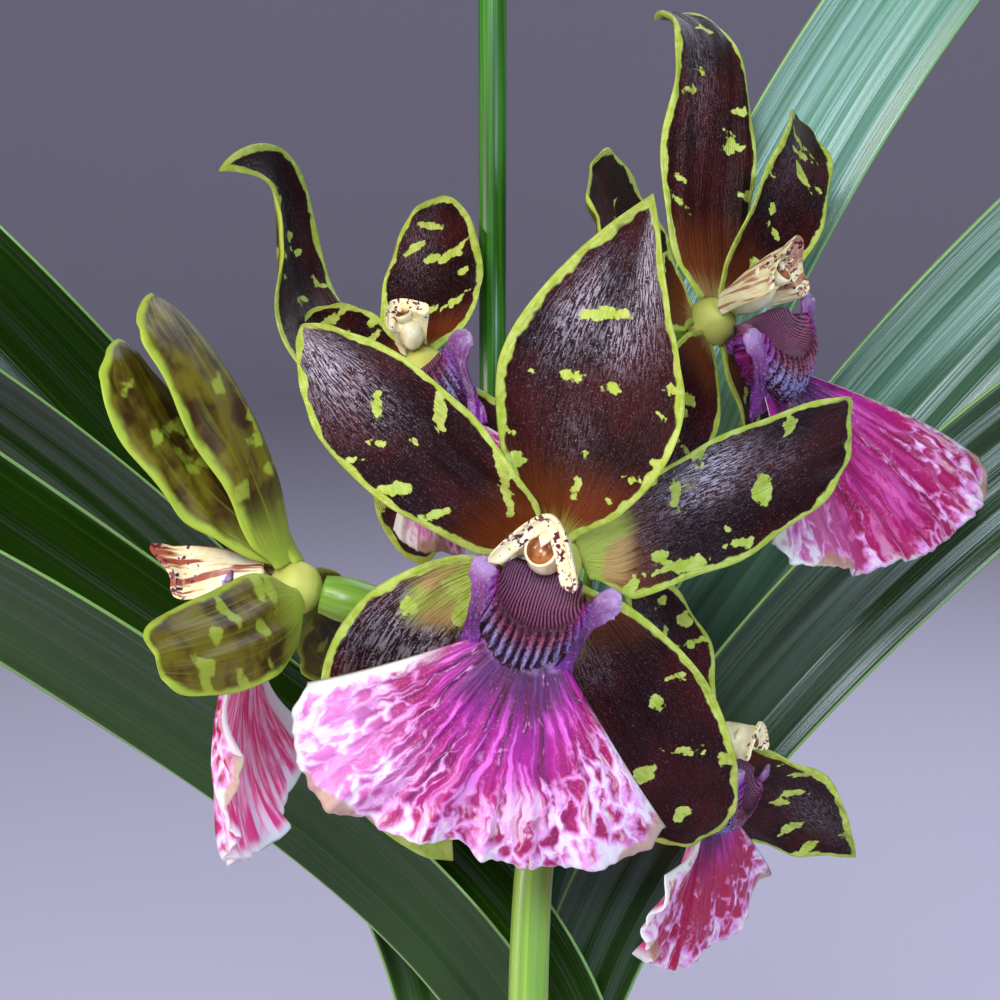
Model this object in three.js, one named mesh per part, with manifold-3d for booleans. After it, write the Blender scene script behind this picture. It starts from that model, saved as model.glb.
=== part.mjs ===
// Potted zygopetalum orchid: a fan of strap leaves on three growths, one flower spike with five blooms,
// a support stake, bark and a terracotta pot.
// Millimetres and degrees, +Z up, origin at the centre of the pot's flat base.
import * as THREE from "three";
import { mergeVertices } from "three/addons/utils/BufferGeometryUtils.js";
import Module from "manifold-3d";

const wasm = await Module();
wasm.setup();

// ---------------------------------------------------------------- driving dimensions

const GAP = 0.3; // clearance between pieces that touch

const POT = {
  height: 115, foot: 46, shoulder: 60, rim: 65, rimHeight: 22, wall: 5, floor: 6, edge: 1.2,
  drains: 4, drainRadius: 5, drainCircle: 24,
};
const BARK = {
  bottom: POT.floor + GAP, top: 99, dome: 4, side: 0.4, shoulder: 6, centre: 23,
  chips: 13, chipLength: 19, chipWidth: 12, chipHeight: 7, chipTilt: 0.45, chipLift: 1.2,
};
const STAKE = { x: -5.4, y: 10, foot: 24, top: 446, footRadius: 1.55, topRadius: 2.1 };

const TEPAL_THICKNESS = 1;
const LEAF_THICKNESS = 1.3;
const LEAF_BASE_Z = 152;

const GROWTHS = [
  { name: "growth_front", x: 5, y: -6, bulb: 11, sheath: [8.5, 10.5] },
  { name: "growth_left", x: -14, y: 23, bulb: 11, sheath: [8.5, 8.5] },
  { name: "growth_right", x: 14, y: 21, bulb: 11, sheath: [8.5, 8.5] },
];
// Profiles are [share of the radius, height above `bottom`].
const BULB = {
  bottom: 88, profile: [[0.6, 0], [0.9, 10], [1, 26], [0.9, 44], [0.62, 62]], ribs: 8, ribDepth: 0.07,
};
const SHEATH = { bottom: 132, profile: [[0.72, 0], [0.95, 16], [1, 38], [0.92, 44]] };

// Each blade starts at `start` from its frame's origin. `turn` is its heading, clockwise from up, `spread`
// an early extra turn, `sweep` a steady one. `lean` and `bend` raise it towards the front, `curl` only near
// the tip. `twist` rolls it about its own midline, `cup` lifts its edges and `skew` widens its right half.
const BLADE = {
  start: 0, forward: 0, turn: 0, spread: 0, sweep: 0, lean: 0, bend: 0, curl: 0, roll: 0, twist: 0,
  length: 40, width: 18, base: 0.35, widest: 0.5, taper: 2.2, round: 0.62, cup: 0.2, skew: 0,
};
const SPREAD_END = 0.17; // share of the length over which most of `spread` happens
const LEAF = { ...BLADE, base: 0.42, taper: 2.2, round: 0.8, cup: 0.18 };

const LEAVES = [
  {
    name: "leaf_left_1", at: [-14, 24], turn: 9, spread: -33, sweep: -43, lean: -5, twist: 12,
    length: 360, width: 24,
  },
  {
    name: "leaf_left_2", at: [-12, 18], turn: 18, spread: -38, sweep: -70, lean: -3, twist: 60,
    length: 340, width: 16,
  },
  {
    name: "leaf_left_3", at: [4, -3], turn: 12, spread: -70, sweep: 4, lean: -4, twist: 20,
    length: 360, width: 28,
  },
  {
    name: "leaf_left_4", at: [6, -12], turn: 7, spread: -49, sweep: -38, lean: -3, twist: 80,
    length: 340, width: 20,
  },
  {
    name: "leaf_right_1", at: [12.7, 22], turn: -12, spread: 3, sweep: 80, lean: -6, twist: -3,
    length: 380, width: 20,
  },
  {
    name: "leaf_right_2", at: [10, 17], turn: -16, spread: 36, sweep: 50, lean: -6, twist: -6,
    length: 360, width: 21,
  },
  {
    name: "leaf_right_3", at: [6, 0.6], turn: -12, spread: 34, sweep: 64, lean: -7.5, twist: -14,
    length: 340, width: 21,
  },
  {
    name: "leaf_back", at: [8.5, 26], turn: -2, spread: 4, sweep: 4, lean: -26, bend: -60,
    length: 240, width: 21,
  },
];

const PEDUNCLE = {
  path: [[0, -22, 84], [-0.5, -21.5, 180], [0, -19.5, 230], [4, -16, 256], [7, -11, 280], [8, -8, 298]],
  footRadius: 2.9,
  topRadius: 1.3,
  holeRadius: 3.5,
};
const OVARY = { stalkRadius: 1.5, flowerRadius: 2.9, behindHub: 3.3, straight: 14 };

const LIP = {
  turn: 182, out: 5.5, forward: 6, core: 5.2, span: 50, lean: 10, bend: -30, droop: 8, thickness: 1,
  edge: [30, 34, 35, 31, 32.5, 34, 33], ruffle: 0.9, ruffles: 5,
};
const CALLUS = {
  halfTurn: 118, ribs: 9, ribDepth: 0.09,
  profile: [[1, 0.6], [3, 3.6], [4.8, 5.7], [6.4, 3.8], [7.1, 0.4]], floor: -1.2, throat: 0.8, endDrop: 0.35,
};
const LOBE = {
  ...BLADE, start: 4.6, forward: 1.6, lean: 20, bend: 10, length: 5.4, width: 4.6, base: 0.6, cup: 0.1,
};
const CLAW = { radius: 1.2, seatAngle: 60, seatGap: 0.9, sides: 8 };
const LOBE_ANGLE = 112;
const LOBE_SWEEP = 25;
const LOBE_THICKNESS = 1.1;
const COLUMN = {
  length: 11, baseRadius: 3, mouthRadius: 5, flare: 1.5, wrap: 115, wall: 1.2, tilt: 8, yaw: 0, rise: 1.4,
  anther: 2.1, antherRise: 1, ridge: 1.6,
};
const HUB_RADIUS = 3.4;
const TEPAL_START = 3;

// Rows along a piece by columns across it; sides are those of round pieces.
const DETAIL = {
  potSides: 24, drainSides: 12, barkSides: 12, stakeSides: 12, sheathSides: 14, leaf: [13, 2], tepal: [6, 4],
  hub: [8, 5], lobe: [4, 2], throatSides: 8, column: [3, 6], knob: [7, 5], ovary: [6, 6], peduncle: [16, 6],
  holeSides: 16,
};
const LIP_DETAIL = { rings: 4, spokes: 12, callus: 12 };
const FRONT_LIP_DETAIL = { rings: 5, spokes: 24, callus: 27 };

const FLOWER = {
  dorsal_sepal: { turn: 0, lean: 12, bend: -8, length: 42, width: 20 },
  left_petal: { turn: -62, lean: 10, bend: -20, length: 38, width: 17, widest: 0.58 },
  right_petal: { turn: 62, lean: 10, bend: -20, length: 38, width: 17, widest: 0.58 },
  left_sepal: { turn: -132, lean: 0, bend: -30, length: 40, width: 19 },
  right_sepal: { turn: 132, lean: 0, bend: -30, length: 40, width: 19 },
};

// Each bloom: its centre, the way it faces (yaw to the right, pitch upwards, roll clockwise), what differs
// from FLOWER, LIP and COLUMN, and where its stalk leaves the spike.
const BLOOMS = [
  {
    name: "front", at: [2, -51.3, 283], yaw: 0, pitch: 0, roll: 18, node: [5, -12, 272],
    tepals: {
      dorsal_sepal: { turn: -6.7, sweep: 4.7, lean: 15.8, bend: 4.5, roll: 13, twist: 11,
        length: 44.6, width: 22.7,
        base: 0.26, widest: 0.44, taper: 1.6, round: 1, cup: 0.23 },
      left_petal: { turn: -63, sweep: -3, lean: 11.5, bend: -17, curl: -9, roll: 13, twist: 9,
        length: 38.2,
        width: 16.5, base: 0.45, widest: 0.6, taper: 1.7, round: 0.7, skew: -0.09, cup: 0.24 },
      right_petal: { turn: 48, sweep: 3.7, lean: -13, bend: -16, roll: -21, twist: -10,
        length: 39.7, width: 17.4,
        base: 0.77, widest: 0.5, taper: 2.8, round: 0.27, skew: 0.18, cup: 0.23, forward: 1.2 },
      left_sepal: { turn: -135, sweep: -99, lean: -6, bend: -12, length: 46.5, width: 21,
        base: 0.23, widest: 0.42,
        taper: 2.7, round: 0.6, skew: 0.18 },
      right_sepal: { turn: 135, lean: -6, bend: -28, length: 43.5, width: 19.5, base: 0.27,
        widest: 0.47, taper: 1.7,
        round: 0.45 },
    },
    lip: { turn: 183, span: 51, edge: [34.5, 33, 32.1, 30.3, 34.2, 35, 31] },
    column: { length: 9, mouthRadius: 5.6, tilt: 3.5, yaw: -14 },
  },
  {
    name: "left", at: [-29.6, -40.2, 277.5], yaw: -105, pitch: 10, roll: 0, node: [4, -16, 262],
    tepals: {
      dorsal_sepal: { turn: 10, sweep: -3.6, lean: 17, bend: 27.7, curl: 17.5, twist: -23,
        length: 38, width: 21.4,
        widest: 0.8, taper: 2.6, round: 0.6, cup: 0.37, forward: 1.2 },
      left_petal: { turn: -18, sweep: 8, lean: 46, bend: -13, length: 33 },
      right_petal: { turn: 15, sweep: -7.6, lean: 47.6, bend: -13, curl: 16, roll: 7.6, twist: -31,
        length: 34.5,
        width: 20, widest: 0.74, base: 0.15, taper: 2.9, round: 0.52, cup: 0.41, forward: 1.3 },
      left_sepal: { turn: -120, lean: -4, bend: 0, length: 26, width: 14 },
      right_sepal: { turn: 96, sweep: -7, lean: -2, bend: 25, roll: -29, twist: -20, length: 32,
        width: 12.4,
        base: 0.4, widest: 0.3, taper: 2.5, round: 0.25, forward: -1.7 },
    },
    lip: { turn: 172, out: 4.9, forward: 4, core: 4.7, span: 42, lean: 10, bend: -44, droop: 12,
      edge: [22, 27, 30, 30.6, 30, 27, 22] },
    column: { length: 15, mouthRadius: 3.6, tilt: -12 },
  },
  {
    name: "upper_left", at: [-14.6, -5.7, 300.2], yaw: -25, pitch: 40, roll: -50, node: [6, -10, 288],
    tepals: {
      dorsal_sepal: { turn: -43.6, sweep: 136.5, lean: -11, bend: 44.7, curl: 145, roll: -7.5,
        twist: -137,
        length: 56.5, width: 18, base: 0.37, widest: 0.2, taper: 1.9, round: 0.86, cup: 0.36,
          forward: -1.9 },
      left_petal: { turn: -22, sweep: 10, lean: -10, bend: 10, length: 22, width: 10 },
      right_petal: { turn: 36, lean: -8, bend: 15, length: 28, width: 15, base: 0.3, widest: 0.3,
        taper: 2.4,
        round: 0.56, cup: 0.13 },
      left_sepal: { turn: -140, lean: -20, bend: 0, length: 24, width: 13 },
      right_sepal: { turn: 180, lean: -38, bend: 0, length: 22, width: 12 },
    },
    lip: { turn: 196, out: 7.5, forward: 3, span: 36, lean: 0, bend: -20, edge: [20, 23, 24, 24, 23,
      22, 20] },
    column: { length: 6, baseRadius: 2.4, mouthRadius: 3.4, tilt: 10, yaw: 14 },
  },
  {
    name: "upper_right", at: [24.8, -1.5, 306.6], yaw: 50, pitch: 10, roll: 5, node: [7, -8, 292],
    tepals: {
      dorsal_sepal: { turn: 9.6, sweep: 4.7, lean: -10.6, bend: 39, curl: -134, roll: 16, twist: -3,
        length: 49.8,
        width: 16.5, base: 0.52, widest: 0.38, taper: 1.6, round: 0.65, cup: 0.11, skew: -0.09 },
      left_petal: { turn: -71, sweep: 3, lean: 7.7, bend: 19.4, roll: -10, length: 40.5, width: 18,
        base: 0.29,
        widest: 0.64, taper: 3.2, round: 0.33, cup: 0.24, forward: -1.5 },
      right_petal: { turn: 42.7, sweep: 3, lean: 18, bend: -37.6, curl: -20, roll: 10, length: 41.7,
        width: 12.7,
        base: 0.36, widest: 0.43, taper: 2.5, round: 0.54, cup: 0.29 },
      left_sepal: { turn: -138, lean: 6, bend: -20, length: 30, width: 16 },
      right_sepal: { turn: 132, lean: 0, bend: -30, length: 30, width: 17 },
    },
    lip: { turn: 165, out: 5.4, forward: 8.5, lean: 33, bend: -10, droop: 16, edge: [43, 39, 36, 34,
      33, 33, 35] },
    column: { length: 12, mouthRadius: 3.8, rise: 0.4, tilt: 19 },
  },
  {
    name: "lower_right", at: [22.6, -18.4, 251.2], yaw: 60, pitch: -25, roll: 0, node: [1, -19, 240],
    tepals: {
      dorsal_sepal: { turn: -20, lean: -40, bend: -10, length: 24, width: 12 },
      left_petal: { turn: -85, lean: -20, bend: -10, length: 24, width: 12 },
      right_petal: { turn: 36, lean: -52, bend: 0, length: 22, width: 11 },
      left_sepal: { turn: -114, lean: -30, bend: -10, length: 22, width: 13 },
      right_sepal: { turn: 118, lean: 22, bend: 14, curl: 10, roll: -29, twist: -20, length: 38,
        width: 19,
        widest: 0.47, taper: 1.5, round: 0.88 },
    },
    lip: { turn: 200, out: 3.6, forward: 5.6, core: 4.6, span: 70, lean: 26, bend: -16, droop: 4,
      edge: [28, 28, 26, 24.5, 26, 29, 31] },
    column: { length: 5, mouthRadius: 3.4, tilt: 24 },
  },
];

// ---------------------------------------------------------------- materials

function material(colour, roughness) {
  return new THREE.MeshStandardMaterial({ color: colour, roughness, metalness: 0 });
}
const TERRACOTTA = material(0xb5653f, 0.85);
const BARK_BROWN = material(0x6b4428, 0.9);
const STAKE_GREEN = material(0x3f9a35, 0.4);
const LEAF_GREEN = material(0x2f6b2a, 0.4);
const GROWTH_GREEN = material(0x6e9a3a, 0.5);
const SPIKE_GREEN = material(0x7fa93a, 0.5);
const TEPAL_MAROON = material(0x45202a, 0.5);
const LIP_MAGENTA = material(0xb0379b, 0.5);
const COLUMN_CREAM = material(0xf0dca0, 0.5);

// ---------------------------------------------------------------- solids

const radians = THREE.MathUtils.degToRad;

function vector(x, y, z) {
  return new THREE.Vector3(x, y, z);
}

// Closed solid between two equal grids of points; `top` lies on the outer side of the first face.
function slab(top, bottom) {
  const rows = top.length;
  const columns = top[0].length;
  const count = rows * columns;
  const index = [];
  const quad = (a, b, c, d) => index.push(a, b, c, a, c, d);
  for (let r = 0; r < rows - 1; r++) {
    for (let c = 0; c < columns - 1; c++) {
      const a = r * columns + c;
      const d = a + columns;
      quad(a, a + 1, d + 1, d);
      quad(count + a, count + d, count + d + 1, count + a + 1);
    }
  }
  const rim = [];
  for (let c = 0; c < columns - 1; c++) rim.push(c);
  for (let r = 0; r < rows - 1; r++) rim.push(r * columns + columns - 1);
  for (let c = columns - 1; c > 0; c--) rim.push((rows - 1) * columns + c);
  for (let r = rows - 1; r > 0; r--) rim.push(r * columns);
  rim.forEach((p, i) => {
    const q = rim[(i + 1) % rim.length];
    quad(q, p, count + p, count + q);
  });
  const geometry = new THREE.BufferGeometry();
  const points = [...top.flat(), ...bottom.flat()].flatMap((p) => p.toArray());
  geometry.setAttribute("position", new THREE.Float32BufferAttribute(points, 3));
  geometry.setIndex(index);
  return geometry;
}

function transpose(grid) {
  return grid[0].map((_, c) => grid.map((row) => row[c]));
}

function toManifold(geometry) {
  const bare = geometry.clone();
  bare.deleteAttribute("normal");
  bare.deleteAttribute("uv");
  const merged = mergeVertices(bare, 1e-4);
  return new wasm.Manifold(new wasm.Mesh({
    numProp: 3,
    vertProperties: Float32Array.from(merged.attributes.position.array),
    triVerts: Uint32Array.from(merged.index.array),
  }));
}

function toGeometry(solid) {
  const mesh = solid.getMesh();
  const geometry = new THREE.BufferGeometry();
  geometry.setAttribute("position", new THREE.Float32BufferAttribute(Array.from(mesh.vertProperties), 3));
  geometry.setIndex(Array.from(mesh.triVerts));
  return geometry;
}

function join(geometries) {
  return toGeometry(geometries.map(toManifold).reduce((whole, piece) => whole.add(piece)));
}

// What is left of a solid after the cutters, without the loose scraps that a cut can leave.
function cut(geometry, cutters) {
  let rest = toManifold(geometry);
  for (const cutter of cutters) rest = rest.subtract(toManifold(cutter));
  const bodies = rest.decompose().sort((a, b) => b.volume() - a.volume());
  return toGeometry(bodies[0]);
}

// Half-width of a blade at t from 0 (base) to 1 (tip), as a share of its full half-width.
function outline(shape, t) {
  const { base, widest } = shape;
  if (t < widest) return base + (1 - base) * Math.sin((Math.PI / 2) * (t / widest));
  const s = (t - widest) / (1 - widest);
  return Math.pow(1 - Math.pow(s, shape.taper), shape.round);
}

// Midline of a blade in its own frame (x right, y up, z front): points with side and normal directions.
function midline(shape, rows) {
  const heading = (t) => {
    const rise = radians(shape.lean + shape.bend * t + shape.curl * t ** 4);
    const early = 1 - Math.exp(-((t / SPREAD_END) ** 2));
    const turn = radians(shape.turn + shape.sweep * t + shape.spread * early);
    const roll = radians(shape.roll + shape.twist * t);
    const out = vector(Math.sin(turn), Math.cos(turn), 0);
    const along = out.clone().multiplyScalar(Math.cos(rise)).setZ(Math.sin(rise));
    const flatSide = vector(Math.cos(turn), -Math.sin(turn), 0);
    const flatNormal = vector(0, 0, Math.cos(rise)).addScaledVector(out, -Math.sin(rise));
    const side = flatSide.clone().applyAxisAngle(along, -roll);
    const normal = flatNormal.clone().applyAxisAngle(along, -roll);
    return { along, side, normal };
  };
  const fine = 8;
  const first = radians(shape.turn);
  const point = vector(Math.sin(first), Math.cos(first), 0).multiplyScalar(shape.start);
  point.z += shape.forward;
  const line = [];
  for (let r = 0; r <= rows; r++) {
    line.push({ t: r / rows, point: point.clone(), ...heading(r / rows) });
    for (let k = 0; k < fine; k++) {
      const t = (r + (k + 0.5) / fine) / rows;
      point.addScaledVector(heading(t).along, shape.length / rows / fine);
    }
  }
  return line;
}

// A thin petal or leaf: a cupped sheet about its midline, cut off at the tip where it gets too narrow.
function blade(shape, [rows, columns], thickness) {
  const smallest = 0.45;
  const top = [];
  const bottom = [];
  for (const { t, point, side, normal } of midline(shape, rows)) {
    const half = Math.max((shape.width / 2) * outline(shape, t), smallest);
    const upper = [];
    const lower = [];
    for (let c = 0; c <= columns; c++) {
      const u = (2 * c) / columns - 1;
      const across = half * u * (1 + shape.skew * Math.sign(u));
      const lift = shape.cup * half * u * u;
      const middle = point.clone().addScaledVector(side, across).addScaledVector(normal, lift);
      upper.push(middle.clone().addScaledVector(normal, thickness / 2));
      lower.push(middle.clone().addScaledVector(normal, -thickness / 2));
    }
    top.push(upper);
    bottom.push(lower);
  }
  return slab(top, bottom);
}

// Round tube along a curve with a radius that follows `radiusAt`, capped at both ends.
function taperedTube(curve, radiusAt, steps, sides) {
  const frames = curve.computeFrenetFrames(steps, false);
  const points = [];
  const index = [];
  for (let s = 0; s <= steps; s++) {
    const centre = curve.getPointAt(s / steps);
    for (let k = 0; k < sides; k++) {
      const angle = (2 * Math.PI * k) / sides;
      const offset = frames.normals[s].clone().multiplyScalar(Math.cos(angle));
      offset.addScaledVector(frames.binormals[s], Math.sin(angle));
      points.push(...centre.clone().addScaledVector(offset, radiusAt(s / steps)).toArray());
    }
  }
  for (let s = 0; s < steps; s++) {
    for (let k = 0; k < sides; k++) {
      const a = s * sides + k;
      const b = s * sides + ((k + 1) % sides);
      index.push(a, b, b + sides, a, b + sides, a + sides);
    }
  }
  const last = steps * sides;
  for (let k = 1; k < sides - 1; k++) {
    index.push(0, k + 1, k);
    index.push(last, last + k, last + k + 1);
  }
  const geometry = new THREE.BufferGeometry();
  geometry.setAttribute("position", new THREE.Float32BufferAttribute(points, 3));
  geometry.setIndex(index);
  return geometry;
}

// Solid turned about the Z axis from [radius, height] points.
function turned(profile, segments) {
  const geometry = new THREE.LatheGeometry(profile.map(([r, z]) => new THREE.Vector2(r, z)), segments);
  return geometry.rotateX(Math.PI / 2);
}

// Profile with flat ends that close on the axis.
function closed(profile) {
  return [[0, profile[0][1]], ...profile, [0, profile.at(-1)[1]]];
}

function smoothCurve(points) {
  return new THREE.CatmullRomCurve3(points.map((p) => vector(...p)), false, "centripetal");
}

function mesh(name, geometry, surface) {
  const piece = new THREE.Mesh(geometry, surface);
  piece.name = name;
  return piece;
}

// A group whose x, y and z are a bloom's right, up and front, as seen by someone it faces.
function facing(at, yaw, pitch, roll) {
  const front = vector(
    Math.sin(radians(yaw)) * Math.cos(radians(pitch)),
    -Math.cos(radians(yaw)) * Math.cos(radians(pitch)),
    Math.sin(radians(pitch)),
  );
  const right = vector(Math.cos(radians(yaw)), Math.sin(radians(yaw)), 0);
  const up = front.clone().cross(right);
  const group = new THREE.Group();
  group.position.set(...at);
  group.setRotationFromMatrix(new THREE.Matrix4().makeBasis(right, up, front));
  group.rotateZ(-radians(roll));
  return group;
}

// ---------------------------------------------------------------- pot, bark and stake

function pot() {
  const { height, foot, shoulder, rim, rimHeight, wall, floor, edge, drains, drainRadius, drainCircle } = POT;
  const collar = height - rimHeight;
  const profile = [
    [0, 0], [foot, 0], [shoulder, collar], [rim - edge, collar], [rim, collar + edge],
    [rim, height - edge], [rim - edge, height], [rim - wall + edge, height], [rim - wall, height - edge],
    [potBore(collar), collar], [foot - wall, floor], [0, floor],
  ];
  const holes = Array.from({ length: drains }, (_, i) => {
    const angle = (2 * Math.PI * (i + 0.5)) / drains;
    const [x, y] = [drainCircle * Math.cos(angle), drainCircle * Math.sin(angle)];
    const hole = new THREE.CylinderGeometry(drainRadius, drainRadius, 3 * floor, DETAIL.drainSides);
    return hole.rotateX(Math.PI / 2).translate(x, y, 0);
  });
  return mesh("pot", cut(turned(profile, DETAIL.potSides), holes), TERRACOTTA);
}

// Inside radius of the pot wall at height z.
function potBore(z) {
  const { height, foot, shoulder, rimHeight, wall, floor } = POT;
  return THREE.MathUtils.mapLinear(z, floor, height - rimHeight, foot - wall, shoulder - wall);
}

// Repeatable random numbers from 0 to 1.
function seeded(seed) {
  let state = seed;
  return () => {
    state = (state * 16807) % 2147483647;
    return state / 2147483647;
  };
}

function barkChip(random) {
  const { chipLength, chipWidth, chipHeight, chipTilt, chipLift, top, dome } = BARK;
  const between = (low, high) => low + (high - low) * random();
  const size = [chipLength, chipWidth, chipHeight].map((side) => side * between(0.7, 1.2));
  const chip = new THREE.BoxGeometry(...size);
  chip.rotateX(between(-chipTilt, chipTilt));
  chip.rotateY(between(-chipTilt, chipTilt));
  chip.rotateZ(between(0, 2 * Math.PI));
  const distance = Math.sqrt(random()) * (potBore(top) - chipLength * 0.75);
  const angle = between(0, 2 * Math.PI);
  const height = top + dome * (1 - (distance / POT.shoulder) ** 2) + between(0, chipLift);
  return chip.translate(distance * Math.cos(angle), distance * Math.sin(angle), height);
}

function bark(holes) {
  const { bottom, top, dome, side, shoulder, centre, chips } = BARK;
  const reach = potBore(top - shoulder) - side;
  const profile = [
    [0, bottom], [potBore(bottom) - side, bottom], [reach, top - shoulder], [reach - shoulder, top],
    [centre, top + dome], [0, top + dome],
  ];
  const heap = turned(profile, DETAIL.barkSides);
  const random = seeded(71);
  const pieces = Array.from({ length: chips }, () => barkChip(random));
  return mesh("bark", cut(join([heap, ...pieces]), holes), BARK_BROWN);
}

function stakeCylinder(clearance) {
  const { x, y, foot, top, footRadius, topRadius } = STAKE;
  const length = top - foot;
  const radii = [topRadius + clearance, footRadius + clearance];
  const cylinder = new THREE.CylinderGeometry(...radii, length, DETAIL.stakeSides);
  return cylinder.rotateX(Math.PI / 2).translate(x, y, foot + length / 2 - clearance);
}

// ---------------------------------------------------------------- growths and leaves

// Ribbed pseudobulb below the sheaths, grown by `clearance` where it cuts its hole in the bark.
function pseudobulb({ x, y, bulb }, clearance) {
  const { bottom, profile, ribs, ribDepth } = BULB;
  const full = profile.map(([share, height]) => [share * bulb + clearance, height]);
  const geometry = turned(closed(full), ribs * 2);
  const position = geometry.attributes.position;
  for (let i = 0; i < position.count; i++) {
    const angle = Math.atan2(position.getY(i), position.getX(i));
    const scale = 1 - ribDepth * (0.5 - 0.5 * Math.cos(ribs * angle));
    position.setX(i, position.getX(i) * scale);
    position.setY(i, position.getY(i) * scale);
  }
  return geometry.translate(x, y, bottom - clearance);
}

// The clasping leaf bases above the bulb, as one oval stem with a slot for each leaf.
function sheath({ x, y, sheath: [wide, deep] }) {
  const stem = turned(closed(SHEATH.profile), DETAIL.sheathSides);
  return stem.scale(wide, deep, 1).translate(x, y, SHEATH.bottom);
}

// Leaves stand in the X-Z plane with their faces to the front.
const LEAF_FRAME = facing([0, 0, 0], 0, 0, 0);

function leafSolid(leaf, clearance) {
  const shape = { ...LEAF, ...leaf, width: leaf.width + (clearance * 2) / LEAF.base, start: -clearance };
  const geometry = blade(shape, DETAIL.leaf, LEAF_THICKNESS + 2 * clearance);
  LEAF_FRAME.updateMatrix();
  return geometry.applyMatrix4(LEAF_FRAME.matrix).translate(leaf.at[0], leaf.at[1], LEAF_BASE_Z);
}

function growth(plan) {
  const own = LEAVES.filter(({ at: [x, y] }) => Math.hypot(x - plan.x, y - plan.y) < plan.bulb);
  const body = join([pseudobulb(plan, 0), sheath(plan)]);
  return mesh(plan.name, cut(body, own.map((leaf) => leafSolid(leaf, GAP))), GROWTH_GREEN);
}

function leaf(plan) {
  return mesh(plan.name, leafSolid(plan, 0), LEAF_GREEN);
}

// ---------------------------------------------------------------- blooms

function tepals(bloom) {
  const hub = new THREE.SphereGeometry(HUB_RADIUS, ...DETAIL.hub);
  const blades = Object.entries(FLOWER).map(([name, usual]) => {
    const shape = { ...BLADE, start: TEPAL_START, ...usual, ...bloom.tepals[name] };
    return blade(shape, DETAIL.tepal, TEPAL_THICKNESS);
  });
  return mesh(`${bloom.name}_bloom_tepals`, join([hub, ...blades]), TEPAL_MAROON);
}

// Lip edge radius at psi from -1 (left) to 1 (right), smooth through evenly spaced values.
function lipEdge(edge, psi) {
  const curve = new THREE.CatmullRomCurve3(edge.map((radius, i) => vector(i, radius, 0)));
  return curve.getPoint((psi + 1) / 2).y;
}

function lipBlade(lip, rings, spokes) {
  const top = [];
  const bottom = [];
  for (let s = 0; s <= spokes; s++) {
    const psi = (2 * s) / spokes - 1;
    const ray = {
      ...BLADE, turn: lip.turn + lip.span * psi, start: lip.core, lean: lip.lean,
      bend: lip.bend - lip.droop * psi * psi, length: lipEdge(lip.edge, psi) - lip.core,
    };
    const upper = [];
    const lower = [];
    for (const { t, point, normal } of midline(ray, rings)) {
      const ruffle = lip.ruffle * t * t * Math.sin(Math.PI * lip.ruffles * psi);
      upper.push(point.clone().addScaledVector(normal, ruffle + lip.thickness / 2));
      lower.push(point.clone().addScaledVector(normal, ruffle - lip.thickness / 2));
    }
    top.push(upper);
    bottom.push(lower);
  }
  return slab(transpose(top), transpose(bottom));
}

// Horseshoe crest with ribs, open towards the column.
function callus(lip, steps) {
  const { halfTurn, ribs, ribDepth, profile, floor, endDrop } = CALLUS;
  const top = [];
  const bottom = [];
  for (let s = 0; s <= steps; s++) {
    const turn = (2 * s) / steps - 1;
    const angle = radians(lip.turn + halfTurn * turn);
    const out = vector(Math.sin(angle), Math.cos(angle), 0);
    const low = 1 - endDrop * turn ** 4;
    const rib = 1 + ribDepth * Math.cos(Math.PI * ribs * turn);
    top.push(profile.map(([radius, height], i) => {
      return out.clone().multiplyScalar(radius * (i > 1 ? rib : 1)).setZ(height * low * (2 - rib));
    }));
    bottom.push(profile.map(([radius]) => out.clone().multiplyScalar(radius).setZ(floor)));
  }
  return slab(transpose(top), transpose(bottom));
}

// Closes the middle of the horseshoe.
function throatFloor() {
  const { floor, throat, profile } = CALLUS;
  const radius = profile[1][0];
  const disc = new THREE.CylinderGeometry(radius, radius, throat - floor, DETAIL.throatSides);
  return disc.rotateX(Math.PI / 2).translate(0, 0, (throat + floor) / 2);
}

function sideLobe(lip, side) {
  const shape = { ...LOBE, turn: lip.turn + side * LOBE_ANGLE, sweep: -side * LOBE_SWEEP };
  return blade(shape, DETAIL.lobe, LOBE_THICKNESS);
}

// Narrow foot that runs from under the callus back to the hub.
function claw(lip) {
  const { radius, seatAngle, seatGap, sides } = CLAW;
  const reach = HUB_RADIUS + seatGap;
  const seat = vector(0, reach * Math.sin(radians(seatAngle)), reach * Math.cos(radians(seatAngle)));
  const root = vector(0, lip.out, lip.forward + CALLUS.floor / 2);
  const along = root.clone().sub(seat);
  const rod = new THREE.CylinderGeometry(radius, radius, along.length(), sides);
  rod.applyQuaternion(new THREE.Quaternion().setFromUnitVectors(vector(0, 1, 0), along.clone().normalize()));
  return rod.translate(...seat.lerp(root, 0.5)).rotateZ(-radians(lip.turn));
}

function lip(bloom) {
  const shape = { ...LIP, ...bloom.lip };
  const detail = bloom.name === "front" ? FRONT_LIP_DETAIL : LIP_DETAIL;
  const sheet = lipBlade(shape, detail.rings, detail.spokes);
  const crest = callus(shape, detail.callus);
  const pieces = [sheet, crest, throatFloor(), sideLobe(shape, -1), sideLobe(shape, 1)];
  const angle = radians(shape.turn);
  for (const piece of pieces) {
    piece.translate(Math.sin(angle) * shape.out, Math.cos(angle) * shape.out, shape.forward);
  }
  return mesh(`${bloom.name}_bloom_lip`, join([...pieces, claw(shape)]), LIP_MAGENTA);
}

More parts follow.
